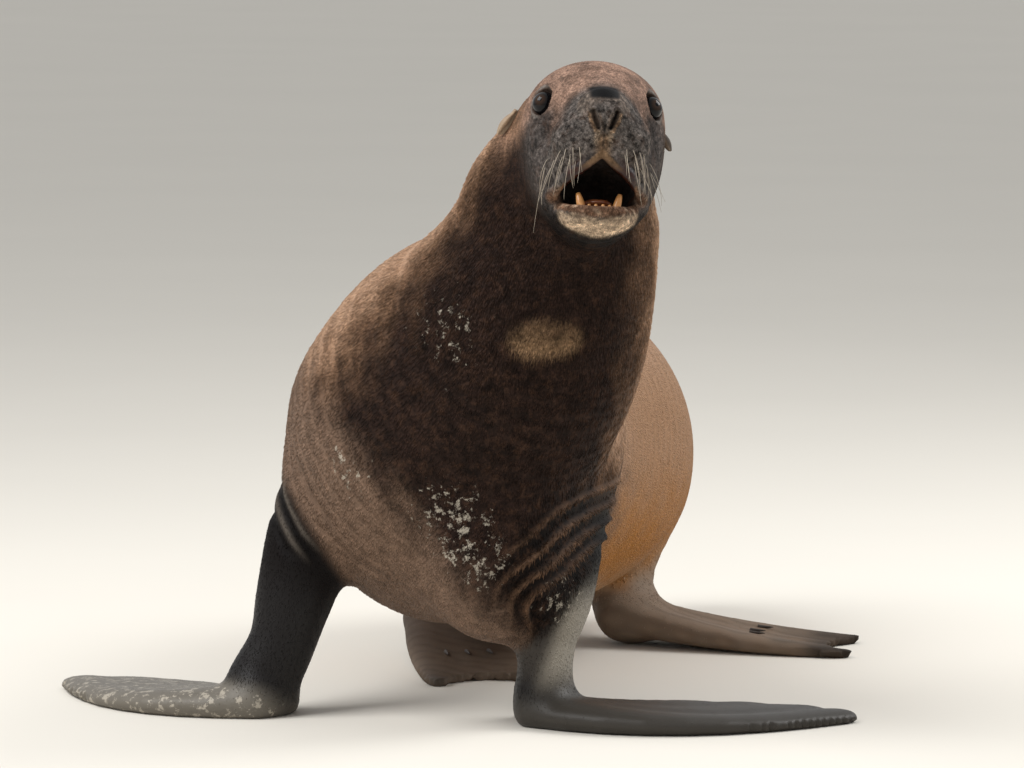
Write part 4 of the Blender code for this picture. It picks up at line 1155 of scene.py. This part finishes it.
def coat_meshes(mesh, where, values):
    """Every coat piece's mesh, its colours and its OFBake map.

    Tufts of a piece differ at random in length, width and lift, and one in
    fourteen stands up nearly twice as far. They get shorter towards bare skin.
    """
    rng = np.random.default_rng(11)
    part = coat_part(where)
    table = np.array(list(COAT.values()), float)
    density = table[part, 0] * (1 - values["hairless"]) * (where["points"][:, 2] > 0.012)
    roots, normals, corners, share = scatter(mesh, density, rng)
    lie = carried(lie_of_coat(where), corners, share)
    waves = np.stack([ripple(roots, 0.07, seed) for seed in (5, 6, 7)], 1)
    lie += 0.10 * rng.normal(size=lie.shape) + 0.14 * waves
    lie = tangent(lie, normals)
    kind = part[corners[:, 0]]
    spread = {name: carried(value, corners, share) for name, value in values.items()}
    made = {}
    for number, name in enumerate(COAT):
        mine = np.flatnonzero(kind == number)
        if len(mine) > TUFT_LIMIT:
            mine = np.sort(rng.permutation(mine)[:TUFT_LIMIT])
        long, wide, high = table[number, 1:4] / 1000.0
        count = len(mine)
        short = 1 - 0.4 * spread["hairless"][mine]
        length = long * rng.uniform(0.65, 1.25, count) * short
        width = wide * rng.uniform(0.7, 1.2, count) * short
        lift = high * rng.uniform(0.5, 1.3, count) * np.where(rng.random(count) < 0.07, 1.8, 1.0)
        points, faces = tufts(roots[mine], normals[mine], lie[mine], length, width, lift)
        points[:, 2] = np.maximum(points[:, 2], FLOOR)
        made[name] = new_mesh(name, points, faces)
        local = {key: carried(value, corners[mine], share[mine]) for key, value in where.items()}
        uv = chart(name, local)[:, None] + PATCH_UV[None]
        layer = made[name].uv_layers.new(name="OFBake")
        layer.uv.foreach_set("vector", uv.reshape(-1, 2)[faces.ravel()].astype(np.float32).ravel())
        fields = {key: np.repeat(value[mine], len(TUFT), 0) for key, value in spread.items()}
        del fields["hairless"]
        shade = table[number, 4]
        fields["tuft_shade"] = np.repeat(rng.uniform(1 - shade, 1 + shade, count), len(TUFT))
        put_attributes(made[name], fields)
    return made


# ---------------------------------------------------------------- materials
def add(tree, kind, inputs=None, **settings):
    """A node with its settings; an input is a value, or (node, output) to link."""
    made = tree.nodes.new(kind)
    for name, value in settings.items():
        setattr(made, name, value)
    for key, value in (inputs or {}).items():
        if isinstance(value, tuple) and isinstance(value[0], bpy.types.Node):
            tree.links.new(value[0].outputs[value[1]], made.inputs[key])
        else:
            made.inputs[key].default_value = value
    return made


def blank_material(name, **values):
    """Material with only a shader, its plain values set on the shader itself."""
    made = bpy.data.materials.new(name)
    made.use_nodes = True
    shader = made.node_tree.nodes["Principled BSDF"]
    for key, value in values.items():
        shader.inputs[key.replace("_", " ")].default_value = value
    return made, made.node_tree, shader


def per_metre(size_mm):
    """Noise scale for features of a size."""
    return 1000.0 / size_mm


def fur_material(name, colours, underlayer):
    """Short guard hair over dark skin.

    Hair that lies flat scatters light, so the coat is dull and nearly without
    shine. Clumps of 26 mm and a grain of 4.5 mm vary the brown, specks of 7 mm
    the muzzle and cheeks, flecks of dried sand lie where it is dusty, and bare
    wet skin shines. The underlayer is darker and has a relief of 2.2 mm.
    """
    made, tree, shader = blank_material(name)
    place = add(tree, "ShaderNodeTexCoord")
    read = {key: add(tree, "ShaderNodeAttribute", attribute_name=key)
            for key in ("coat_colour", "dust", "mottle", "speckle", "gloss", "tuft_shade")}

    def noise(size, detail, rough):
        """Pattern from 0 to 1 with features of so many millimetres."""
        return add(tree, "ShaderNodeTexNoise", {"Vector": (place, "Object"), "Scale": per_metre(size),
                                                "Detail": detail, "Roughness": rough})

    def spread(source, low, high, out_low, out_high):
        """From low to high becomes from out_low to out_high, in a straight line, and no further."""
        return add(tree, "ShaderNodeMapRange", {"Value": source, "From Min": low, "From Max": high,
                                                "To Min": out_low, "To Max": out_high})

    def maths(kind, *values):
        """One sum or product."""
        return add(tree, "ShaderNodeMath", dict(enumerate(values)), operation=kind)

    def mixed(share, first, second):
        """The first colour goes to the second by the share."""
        return add(tree, "ShaderNodeMix", {0: share, 6: first, 7: (*second, 1.0)}, data_type="RGBA")

    def varied(size, detail, rough, low, high, dark, light, share):
        """1 plus a pattern from dark to light, as strong as the share says."""
        pattern = spread((noise(size, detail, rough), 0), low, high, dark, light)
        return maths("MULTIPLY_ADD", (pattern, 0), (read[share], 2), 1.0)

    clumps = varied(26.0, 6.0, 0.68, 0.32, 0.68, -0.50, 0.60, "mottle")
    grain = varied(4.5, 3.0, 0.6, 0.3, 0.7, -0.45, 0.45, "mottle")
    speckles = varied(7.0, 3.0, 0.65, 0.34, 0.66, -0.75, 0.95, "speckle")
    factor = maths("MULTIPLY", (clumps, 0), (grain, 0))
    factor = maths("MULTIPLY", (factor, 0), (speckles, 0))
    factor = maths("MULTIPLY", (factor, 0), 0.80 if underlayer else (read["tuft_shade"], 2))
    coloured = add(tree, "ShaderNodeVectorMath", {0: (read["coat_colour"], 0)}, operation="SCALE")
    tree.links.new(factor.outputs[0], coloured.inputs["Scale"])
    edge = maths("MULTIPLY_ADD", (read["dust"], 2), -0.24, 0.78)
    flecks = maths("SUBTRACT", (noise(14.0, 7.0, 0.72), 0), (edge, 0))
    flecks = spread((flecks, 0), 0.0, 0.05, 0.0, 0.75)
    tufty = spread((noise(16.0, 6.0, 0.72), 0), 0.50, 0.68, 0.0, 0.36)
    tufty = maths("MULTIPLY", (tufty, 0), (read["mottle"], 2))
    clumped = mixed((tufty, 0), (coloured, 0), colours.clumps)
    colour = mixed((flecks, 0), (clumped, 2), colours.sandy)
    tree.links.new(colour.outputs[2], shader.inputs["Base Color"])
    rough = spread((read["gloss"], 2), 0.0, 1.0, 0.62, 0.30)
    tree.links.new(rough.outputs[0], shader.inputs["Roughness"])
    shine = spread((read["gloss"], 2), 0.0, 1.0, 0.08, 0.36)
    tree.links.new(shine.outputs[0], shader.inputs["Specular IOR Level"])
    if underlayer:
        bump = add(tree, "ShaderNodeBump",
                   {"Height": (noise(2.2, 3.0, 0.6), 0), "Strength": 0.5, "Distance": 0.0008})
        tree.links.new(bump.outputs[0], shader.inputs["Normal"])
    return made


def speckled_material(name, base, other, size_mm, roughness, bump, **values):
    """Plain finish: its colour goes from base to other, and its relief rises, over one size of feature."""
    made, tree, shader = blank_material(name, Roughness=roughness, **values)
    place = add(tree, "ShaderNodeTexCoord")
    noise = add(tree, "ShaderNodeTexNoise",
                {"Vector": (place, "Object"), "Scale": per_metre(size_mm), "Detail": 4.0})
    colour = add(tree, "ShaderNodeMix", {0: (noise, 0), 6: (*base, 1.0), 7: (*other, 1.0)}, data_type="RGBA")
    tree.links.new(colour.outputs[2], shader.inputs["Base Color"])
    if bump:
        relief = add(tree, "ShaderNodeBump",
                     {"Height": (noise, 0), "Strength": bump, "Distance": size_mm / 4000})
        tree.links.new(relief.outputs[0], shader.inputs["Normal"])
    return made


def eye_material(iris):
    """Wet dark eye: black pupil, brown iris and near-black rim under a clear tear film.

    The film is nearly a mirror, so the eye shows one small bright light.
    """
    made, tree, shader = blank_material("tear_wet_eye", Roughness=0.06, IOR=1.34, Specular_IOR_Level=0.38)
    polar = add(tree, "ShaderNodeAttribute", attribute_name="polar")
    ramp_node = add(tree, "ShaderNodeValToRGB", {"Fac": (polar, 2)})
    stops = ramp_node.color_ramp.elements
    stops[0].position, stops[0].color = 0.16, (0.002, 0.002, 0.003, 1)
    stops[1].position, stops[1].color = 0.62, (0.004, 0.004, 0.005, 1)
    for position, strength in ((0.20, 0.9), (0.40, 0.6)):
        stop = stops.new(position)
        stop.color = (*(np.array(iris) * strength), 1)
    tree.links.new(ramp_node.outputs[0], shader.inputs["Base Color"])
    return made


# ---------------------------------------------------------------- small pieces
def head_world(places):
    """Head-frame places, in centimetres, in the world's metres."""
    return np.asarray(places, float) * CM @ head_axes() + EYES_MIDDLE


def eye_ball(side):
    """Ball whose front swells into a cornea, turned to look out and forward."""
    gaze = GAZE * (side, 1, 1)
    across = np.cross(gaze, (0.0, 0.0, 1.0))
    across /= np.linalg.norm(across)
    frame_rows = np.array((across, np.cross(gaze, across), gaze))

    def shape(units):
        """Radius times 1 plus a bell round the gaze."""
        polar = np.arccos(np.clip(units[:, 2], -1, 1))
        swell = 1.0 + 0.045 * bell(polar, 0.55)
        place = units * (EYE_RADIUS * swell)[:, None] @ frame_rows
        return head_world(place + np.array(EYE_PLACE) * (side, 1, 1))

    points, faces, units = ball(40, 56, shape)
    return points, faces, np.arccos(np.clip(units[:, 2], -1, 1))


def first_hit(start, way, reach, steps=90):
    """First place along each line where the skin is met."""
    t = np.linspace(0.0, reach, steps)
    line = start[:, None] + way[:, None] * t[None, :, None]
    inside = skin_field(line.reshape(-1, 3)).reshape(len(start), steps) < 0
    return start + way * t[inside.argmax(1)][:, None]


def whisker_paths(count_rows, longest, rng):
    """Whiskers from rows on both lips' pads: out and down, bending under their weight.

    The way along one grows with t and bends less towards its tip, the fall
    grows with t^1.6 and the sway, which differs for each, with t^2.
    """
    rows, columns = np.meshgrid(np.arange(count_rows), np.arange(WHISKER_COLUMNS), indexing="ij")
    rows, columns = rows.ravel(), columns.ravel()
    x = WHISKER_X + 1.0 * columns + 0.2 * rows + rng.normal(0, 0.15, rows.size)
    z = WHISKER_Z - 0.80 * rows - 0.08 * columns + rng.normal(0, 0.14, rows.size)
    left, back, _ = head_axes()
    t = np.linspace(-0.05, 1.0, 10)[None, :, None]
    beyond = np.clip(t, 0, 1)
    paths = []
    for side in (1, -1):
        start = head_world(np.column_stack((side * x, np.full(x.size, WHISKER_AHEAD), z)))
        root = first_hit(start, np.repeat(back[None], x.size, 0), WHISKER_SEARCH)
        share = (x - WHISKER_X) / WHISKER_SPAN
        out = left * side * (0.04 + 0.34 * share)[:, None]
        ahead = -back * (0.50 - 0.20 * share)[:, None]
        aim = rows_unit(out + ahead + np.array((0, 0, -0.75)) + 0.08 * rng.normal(size=out.shape))
        length = longest * (0.62 + 0.38 * share) * rng.uniform(0.55, 1.10, x.size)
        length = length[:, None, None]
        fall = np.array((0.0, 0.0, -1.0)) * (0.55 * length) * beyond**1.6
        sway = 0.08 * rng.normal(size=out.shape)[:, None] * (length * beyond**2)
        paths.append(root[:, None] + sway + aim[:, None] * length * t * (1 - 0.40 * beyond) + fall)
    return np.concatenate(paths)


def curved_teeth(side_places, up, length, radius, lean, spread, taper):
    """Teeth that bend back and spread outward: the radius falls as 1 - taper t^3."""
    t = np.linspace(0.0, 1.0, 9)
    rows = []
    for place in side_places:
        way = np.array((np.sign(place[0]) * spread, 0.0, 0.0)) + up
        back = np.array((0, lean, 0)) * (t**2)[:, None]
        rows.append(np.array(place) + (way * t[:, None] + back) * length)
    paths = head_world(np.array(rows).reshape(-1, 3)).reshape(len(rows), -1, 3)
    radii = np.repeat((radius * CM * (1 - taper * t**3))[None], len(rows), 0)
    return rounds(paths, radii, 14)


def from_opening(turn):
    """How far a turn is from an ear's opening, from 0 to pi."""
    return np.abs(np.angle(np.exp(1j * (turn - EAR_OPENS))))


def ear_mesh(name):
    """Furled ear: a bar that tapers to its tip, its front side pressed into a deep groove."""
    root, tip = (np.array(end) for end in EARS[name])
    side = np.sign(root[0])
    t = np.linspace(-0.20, 0.85, 18)
    bend = np.array((side * 0.10, 0.0, 0.0))
    line = root + (tip - root) * t[:, None] + bend * (t * (1 - t))[:, None]
    out = np.clip(t, 0, 1)
    wide = EAR_RADIUS * CM * (0.60 + 0.55 * np.sin(math.pi * out**0.8)) * (1 - 0.95 * out**4)

    def groove(turn):
        """Deep at the opening, raised at the rim on both sides of it."""
        away = from_opening(turn)
        return 1.0 - 0.55 * bell(away, 0.50) + 0.10 * bell(away - EAR_RIM, 0.25)

    points, faces = rounds(head_world(line)[None], wide[None], EAR_SIDES, EAR_SQUASH, groove)
    turn = 2 * math.pi * np.arange(EAR_SIDES) / EAR_SIDES
    rim = np.tile(bell(from_opening(turn) - EAR_RIM, 0.40), len(t))
    return points, faces, np.concatenate((rim, (0.0, 0.0)))


def tongue_mesh():
    """Ellipsoid with a furrow down its middle and a flattened top."""
    def shape(units):
        """Ellipsoid less a bell across its middle, on top."""
        place = units * np.array(TONGUE_RADII)
        furrow = bell(place[:, 0], 0.45) * (units[:, 2] > -0.3) * ramp(1.0 - np.abs(units[:, 1]), 0, 0.4)
        place[:, 2] -= 0.35 * furrow
        return head_world(place + np.array(TONGUE_PLACE))

    points, faces, _ = ball(28, 40, shape)
    return points, faces


# ---------------------------------------------------------------- settings
def colour_property(code, text):
    """A colour that starts as the linear colour of its hex value."""
    return bpy.props.FloatVectorProperty(
        name=text, description=text, default=tuple(linear(code)), subtype="COLOR", size=3, min=0.0, max=1.0)


def length_property(name, description, metres):
    """A length in metres."""
    return bpy.props.FloatProperty(
        name=name, description=description, default=metres, subtype="DISTANCE", unit="LENGTH", min=0.0)


def angle_property(name, description, degrees):
    """An angle that starts as so many degrees."""
    return bpy.props.FloatProperty(
        name=name, description=description, default=math.radians(degrees), subtype="ANGLE", unit="ROTATION")


class SeaLionColours(bpy.types.PropertyGroup):
    """Colours of the coat and of bare skin."""


for _name, (_code, _text) in COLOURS.items():
    SeaLionColours.__annotations__[_name] = colour_property(_code, _text)


class SeaLionSizes(bpy.types.PropertyGroup):
    """Sizes and colours of the small pieces."""
    whisker_rows: bpy.props.IntProperty(
        name="Whisker rows", description="Rows of whiskers on each side", default=3, min=1, max=8)
    whisker_length: length_property("Whisker length", "Longest whisker", 0.074)
    whisker_radius: length_property("Whisker radius", "Radius at the root", 0.00062)
    whisker_colour: colour_property("#b0a494", "Whiskers")
    iris_colour: colour_property("#3a2a20", "Iris")
    tooth_colour: colour_property("#d39a5f", "Teeth")
    tongue_colour: colour_property("#6e3b26", "Tongue")
    nail_colour: colour_property("#2e2824", "Nails")


class SeaLionStage(bpy.types.PropertyGroup):
    """Floor, lights and camera."""
    floor_colour: colour_property("#e3ded4", "Floor")
    sky_colour: colour_property("#d9dadb", "Light all round")
    sky_strength: bpy.props.FloatProperty(
        name="Sky", description="Strength of the light all round", default=0.85, min=0.0)
    key_power: bpy.props.FloatProperty(
        name="Key light", description="Power of the large lamp", default=230.0,
        subtype="POWER", unit="POWER", min=0.0)
    azimuth: angle_property("Azimuth", "Camera's turn towards the animal's left", 10.0)
    elevation: angle_property("Elevation", "Camera's height angle", 6.0)
    distance: length_property("Distance", "Camera to the point it looks at", 9.5)
    focal_length: bpy.props.FloatProperty(
        name="Focal length", description="Camera's focal length in millimetres", default=215.1, min=1.0)


class Made:
    """What one step leaves for the next."""
    skin = None


def chosen_colours(scene):
    """The colours as they are set in the sidebar."""
    return {name: np.array(getattr(scene.sea_lion_colours, name)) for name in COLOURS}


def closed_mesh(name, points, faces):
    """A mesh whose faces look outward."""
    return new_mesh(name, points, outward(points, faces))


FLESH_NODES = (
    "head", "lower_jaw", "neck", "trunk", "hips", "tail", "left_arm", "right_arm", "left_hand",
    "right_hand", "left_hind_flipper", "right_hind_flipper",
)


# ---------------------------------------------------------------- steps
class SEALION_OT_skin(bpy.types.Operator):
    """One skin over all the flesh, with folds, lids and lips"""
    bl_idname = "sea_lion.skin"
    bl_label = "Skin"

    def execute(self, context):
        mesh, where = skin_mesh()
        values = markings(where, chosen_colours(context.scene))
        put_attributes(mesh, {name: value for name, value in values.items() if name != "hairless"})
        fur = fur_material("short_fur_underlayer", context.scene.sea_lion_colours, True)
        piece("skin", thinned(mesh, SKIN_TRIANGLES), fur, FLESH_NODES)
        Made.skin = (mesh, where, values)
        return {"FINISHED"}


class SEALION_OT_coat(bpy.types.Operator):
    """Short flat tufts over the skin, smallest on the face"""
    bl_idname = "sea_lion.coat"
    bl_label = "Coat"

    def execute(self, context):
        if Made.skin is None:
            raise RuntimeError("the coat grows on the skin: make the skin first")
        fur = fur_material("short_guard_hair", context.scene.sea_lion_colours, False)
        for name, mesh in coat_meshes(*Made.skin).items():
            piece(name, mesh, fur)
        return {"FINISHED"}


class SEALION_OT_eyes(bpy.types.Operator):
    """Both eyeballs, wet and dark"""
    bl_idname = "sea_lion.eyes"
    bl_label = "Eyes"

    def execute(self, context):
        wet = eye_material(context.scene.sea_lion_sizes.iris_colour)
        for side, name in ((1, "left_eye"), (-1, "right_eye")):
            points, faces, polar = eye_ball(side)
            mesh = closed_mesh(name + "_ball", points, faces)
            put_attributes(mesh, {"polar": polar})
            piece(name + "_ball", mesh, wet, (name,))
        return {"FINISHED"}


class SEALION_OT_ears(bpy.types.Operator):
    """Both furled ears"""
    bl_idname = "sea_lion.ears"
    bl_label = "Ears"

    def execute(self, context):
        colours = chosen_colours(context.scene)
        fur = fur_material("ear_velvet_hair", context.scene.sea_lion_colours, True)
        for name, paleness in (("left_ear", 0.3), ("right_ear", 1.0)):
            points, faces, rim = ear_mesh(name)
            mesh = closed_mesh(name + "_furl", points, faces)
            flat = np.zeros(len(points))
            base, pale = colours["muzzle_grey"], colours["chin_pale"]
            share = (paleness * (0.6 * paleness + (1 - 0.6 * paleness) * rim))[:, None]
            put_attributes(mesh, {"coat_colour": base + (pale - base) * share,
                                  "dust": flat, "mottle": flat + 0.3, "gloss": flat})
            piece(name + "_furl", mesh, fur, (name,))
        return {"FINISHED"}


class SEALION_OT_mouth(bpy.types.Operator):
    """Tongue, lower canines and incisors"""
    bl_idname = "sea_lion.mouth"
    bl_label = "Mouth"

    def execute(self, context):
        sizes = context.scene.sea_lion_sizes
        # hard and glossy, browner in its stains
        enamel = speckled_material("stained_tooth_enamel", sizes.tooth_colour, linear("#a8703c"),
                                   6.0, 0.28, 0.05)
        x, y, z = CANINE_PLACE
        roots = [(side * x, y, z - CANINE_LENGTH * CANINE_SUNK) for side in (1, -1)]
        canines = curved_teeth(roots, CANINE_UP, CANINE_LENGTH, CANINE_RADIUS, *CANINE_BEND)
        piece("lower_canines", closed_mesh("lower_canines", *canines), enamel,
              ("left_canine", "right_canine"))
        across = (np.arange(INCISORS) - (INCISORS - 1) / 2) * INCISOR_STEP
        y, z = INCISOR_PLACE
        roots = [(value, y + INCISOR_CURVE * value**2, z) for value in across]
        incisors = curved_teeth(roots, INCISOR_UP, INCISOR_LENGTH, INCISOR_RADIUS, *INCISOR_BEND)
        piece("lower_incisors", closed_mesh("lower_incisors", *incisors), enamel)
        # wet flesh: glossy, and light goes a little way into it
        moist = speckled_material("moist_tongue", sizes.tongue_colour, linear("#87502f"),
                                  3.0, 0.25, 0.4, Subsurface_Weight=0.1)
        piece("tongue_body", closed_mesh("tongue_body", *tongue_mesh()), moist, ("tongue",))
        return {"FINISHED"}


class SEALION_OT_whiskers(bpy.types.Operator):
    """Long pale whiskers that hang from both pads"""
    bl_idname = "sea_lion.whiskers"
    bl_label = "Whiskers"

    def execute(self, context):
        sizes = context.scene.sea_lion_sizes
        paths = whisker_paths(sizes.whisker_rows, sizes.whisker_length, np.random.default_rng(23))
        t = np.linspace(0.0, 1.0, paths.shape[1])
        radii = np.repeat((sizes.whisker_radius * (1 - 0.7 * t))[None], len(paths), 0)
        # smooth and pale, with a soft shine along each whisker
        keratin = speckled_material("smooth_keratin", sizes.whisker_colour, linear("#8f806c"),
                                    20.0, 0.35, 0.0)
        piece("whiskers", closed_mesh("whiskers", *rounds(paths, radii, 6)), keratin)
        return {"FINISHED"}


class SEALION_OT_nails(bpy.types.Operator):
    """Horn finish for the nails of the hind flippers"""
    bl_idname = "sea_lion.nails"
    bl_label = "Nails"

    def execute(self, context):
        colour = context.scene.sea_lion_sizes.nail_colour
        # dark and half dull, with a fine worn relief
        horn = speckled_material("dull_nail_horn", colour, linear("#4a4038"), 2.0, 0.45, 0.2)
        for name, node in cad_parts.items():
            if "_nail_" in name:
                node.data.materials.clear()
                node.data.materials.append(horn)
        return {"FINISHED"}


FLOOR_HALF = 30.0
# name, place, width and share of the key light's power
LAMPS = (("key", (-2.6, -2.2, 4.2), 3.0, 1.0), ("rim", (3.2, 1.4, 3.2), 2.5, 0.5))
LAMP_AIM, CAMERA_AIM = (0.1, 0.0, 0.4), (0.07, -0.12, 0.4824)
SENSOR_MM, CLIP_END = 36.0, 200.0


class SEALION_OT_stage(bpy.types.Operator):
    """Plain pale floor, soft light and the camera"""
    bl_idname = "sea_lion.stage"
    bl_label = "Stage"

    def execute(self, context):
        scene, stage = context.scene, context.scene.sea_lion_stage
        corners = np.array(((-1, -1, 0), (1, -1, 0), (1, 1, 0), (-1, 1, 0))) * FLOOR_HALF
        floor = bpy.data.objects.new("floor", new_mesh("floor", corners, np.array(((0, 1, 2, 3),))))
        scene.collection.objects.link(floor)
        # plain and without shine, so that the shadow alone tells where the ground is
        matt = speckled_material("pale_matt_floor", stage.floor_colour, np.array(stage.floor_colour) * 0.95,
                                 900.0, 0.9, 0.0)
        floor.data.materials.append(matt)
        world = scene.world or bpy.data.worlds.new("world")
        scene.world = world
        world.use_nodes = True
        sky = world.node_tree.nodes["Background"]
        sky.inputs["Color"].default_value = (*stage.sky_colour, 1.0)
        sky.inputs["Strength"].default_value = stage.sky_strength
        for name, place, size, share in LAMPS:
            lamp = bpy.data.lights.new(name, "AREA")
            lamp.energy, lamp.size = stage.key_power * share, size
            item = bpy.data.objects.new(name, lamp)
            scene.collection.objects.link(item)
            item.location = place
            item.rotation_euler = (Vector(LAMP_AIM) - Vector(place)).to_track_quat("-Z", "Y").to_euler()
        camera = bpy.data.objects.new("camera", bpy.data.cameras.new("camera"))
        scene.collection.objects.link(camera)
        back = Vector((math.sin(stage.azimuth) * math.cos(stage.elevation),
                       -math.cos(stage.azimuth) * math.cos(stage.elevation), math.sin(stage.elevation)))
        camera.location = Vector(CAMERA_AIM) + back * stage.distance
        camera.rotation_euler = back.to_track_quat("Z", "Y").to_euler()
        camera.data.sensor_width, camera.data.lens = SENSOR_MM, stage.focal_length
        camera.data.clip_end = CLIP_END
        scene.camera = camera
        scene.view_settings.view_transform = "Standard"
        return {"FINISHED"}


STEPS = (
    SEALION_OT_skin, SEALION_OT_coat, SEALION_OT_eyes, SEALION_OT_ears, SEALION_OT_mouth,
    SEALION_OT_whiskers, SEALION_OT_nails, SEALION_OT_stage,
)


class SEALION_PT_panel(bpy.types.Panel):
    """Sizes, colours and steps of the sea lion"""
    bl_idname = "SEALION_PT_panel"
    bl_label = "Sea Lion"
    bl_space_type = "VIEW_3D"
    bl_region_type = "UI"
    bl_category = "Sea Lion"

    def draw(self, context):
        for key, kind in GROUPS.items():
            for name in kind.__annotations__:
                self.layout.prop(getattr(context.scene, key), name)
        for step in STEPS:
            self.layout.operator(step.bl_idname)


GROUPS = {"sea_lion_colours": SeaLionColours, "sea_lion_sizes": SeaLionSizes, "sea_lion_stage": SeaLionStage}


def register():
    """Makes the settings, the steps and the sidebar panel known."""
    for kind in (*GROUPS.values(), *STEPS, SEALION_PT_panel):
        bpy.utils.register_class(kind)
    for name, kind in GROUPS.items():
        setattr(bpy.types.Scene, name, bpy.props.PointerProperty(type=kind))


def unregister():
    """Takes them away again, last first."""
    for name in GROUPS:
        delattr(bpy.types.Scene, name)
    for kind in reversed((*GROUPS.values(), *STEPS, SEALION_PT_panel)):
        bpy.utils.unregister_class(kind)


def main():
    """Runs every step in order."""
    register()
    for step in STEPS:
        group, name = step.bl_idname.split(".")
        getattr(getattr(bpy.ops, group), name)()


if __name__ == "__main__":
    main()
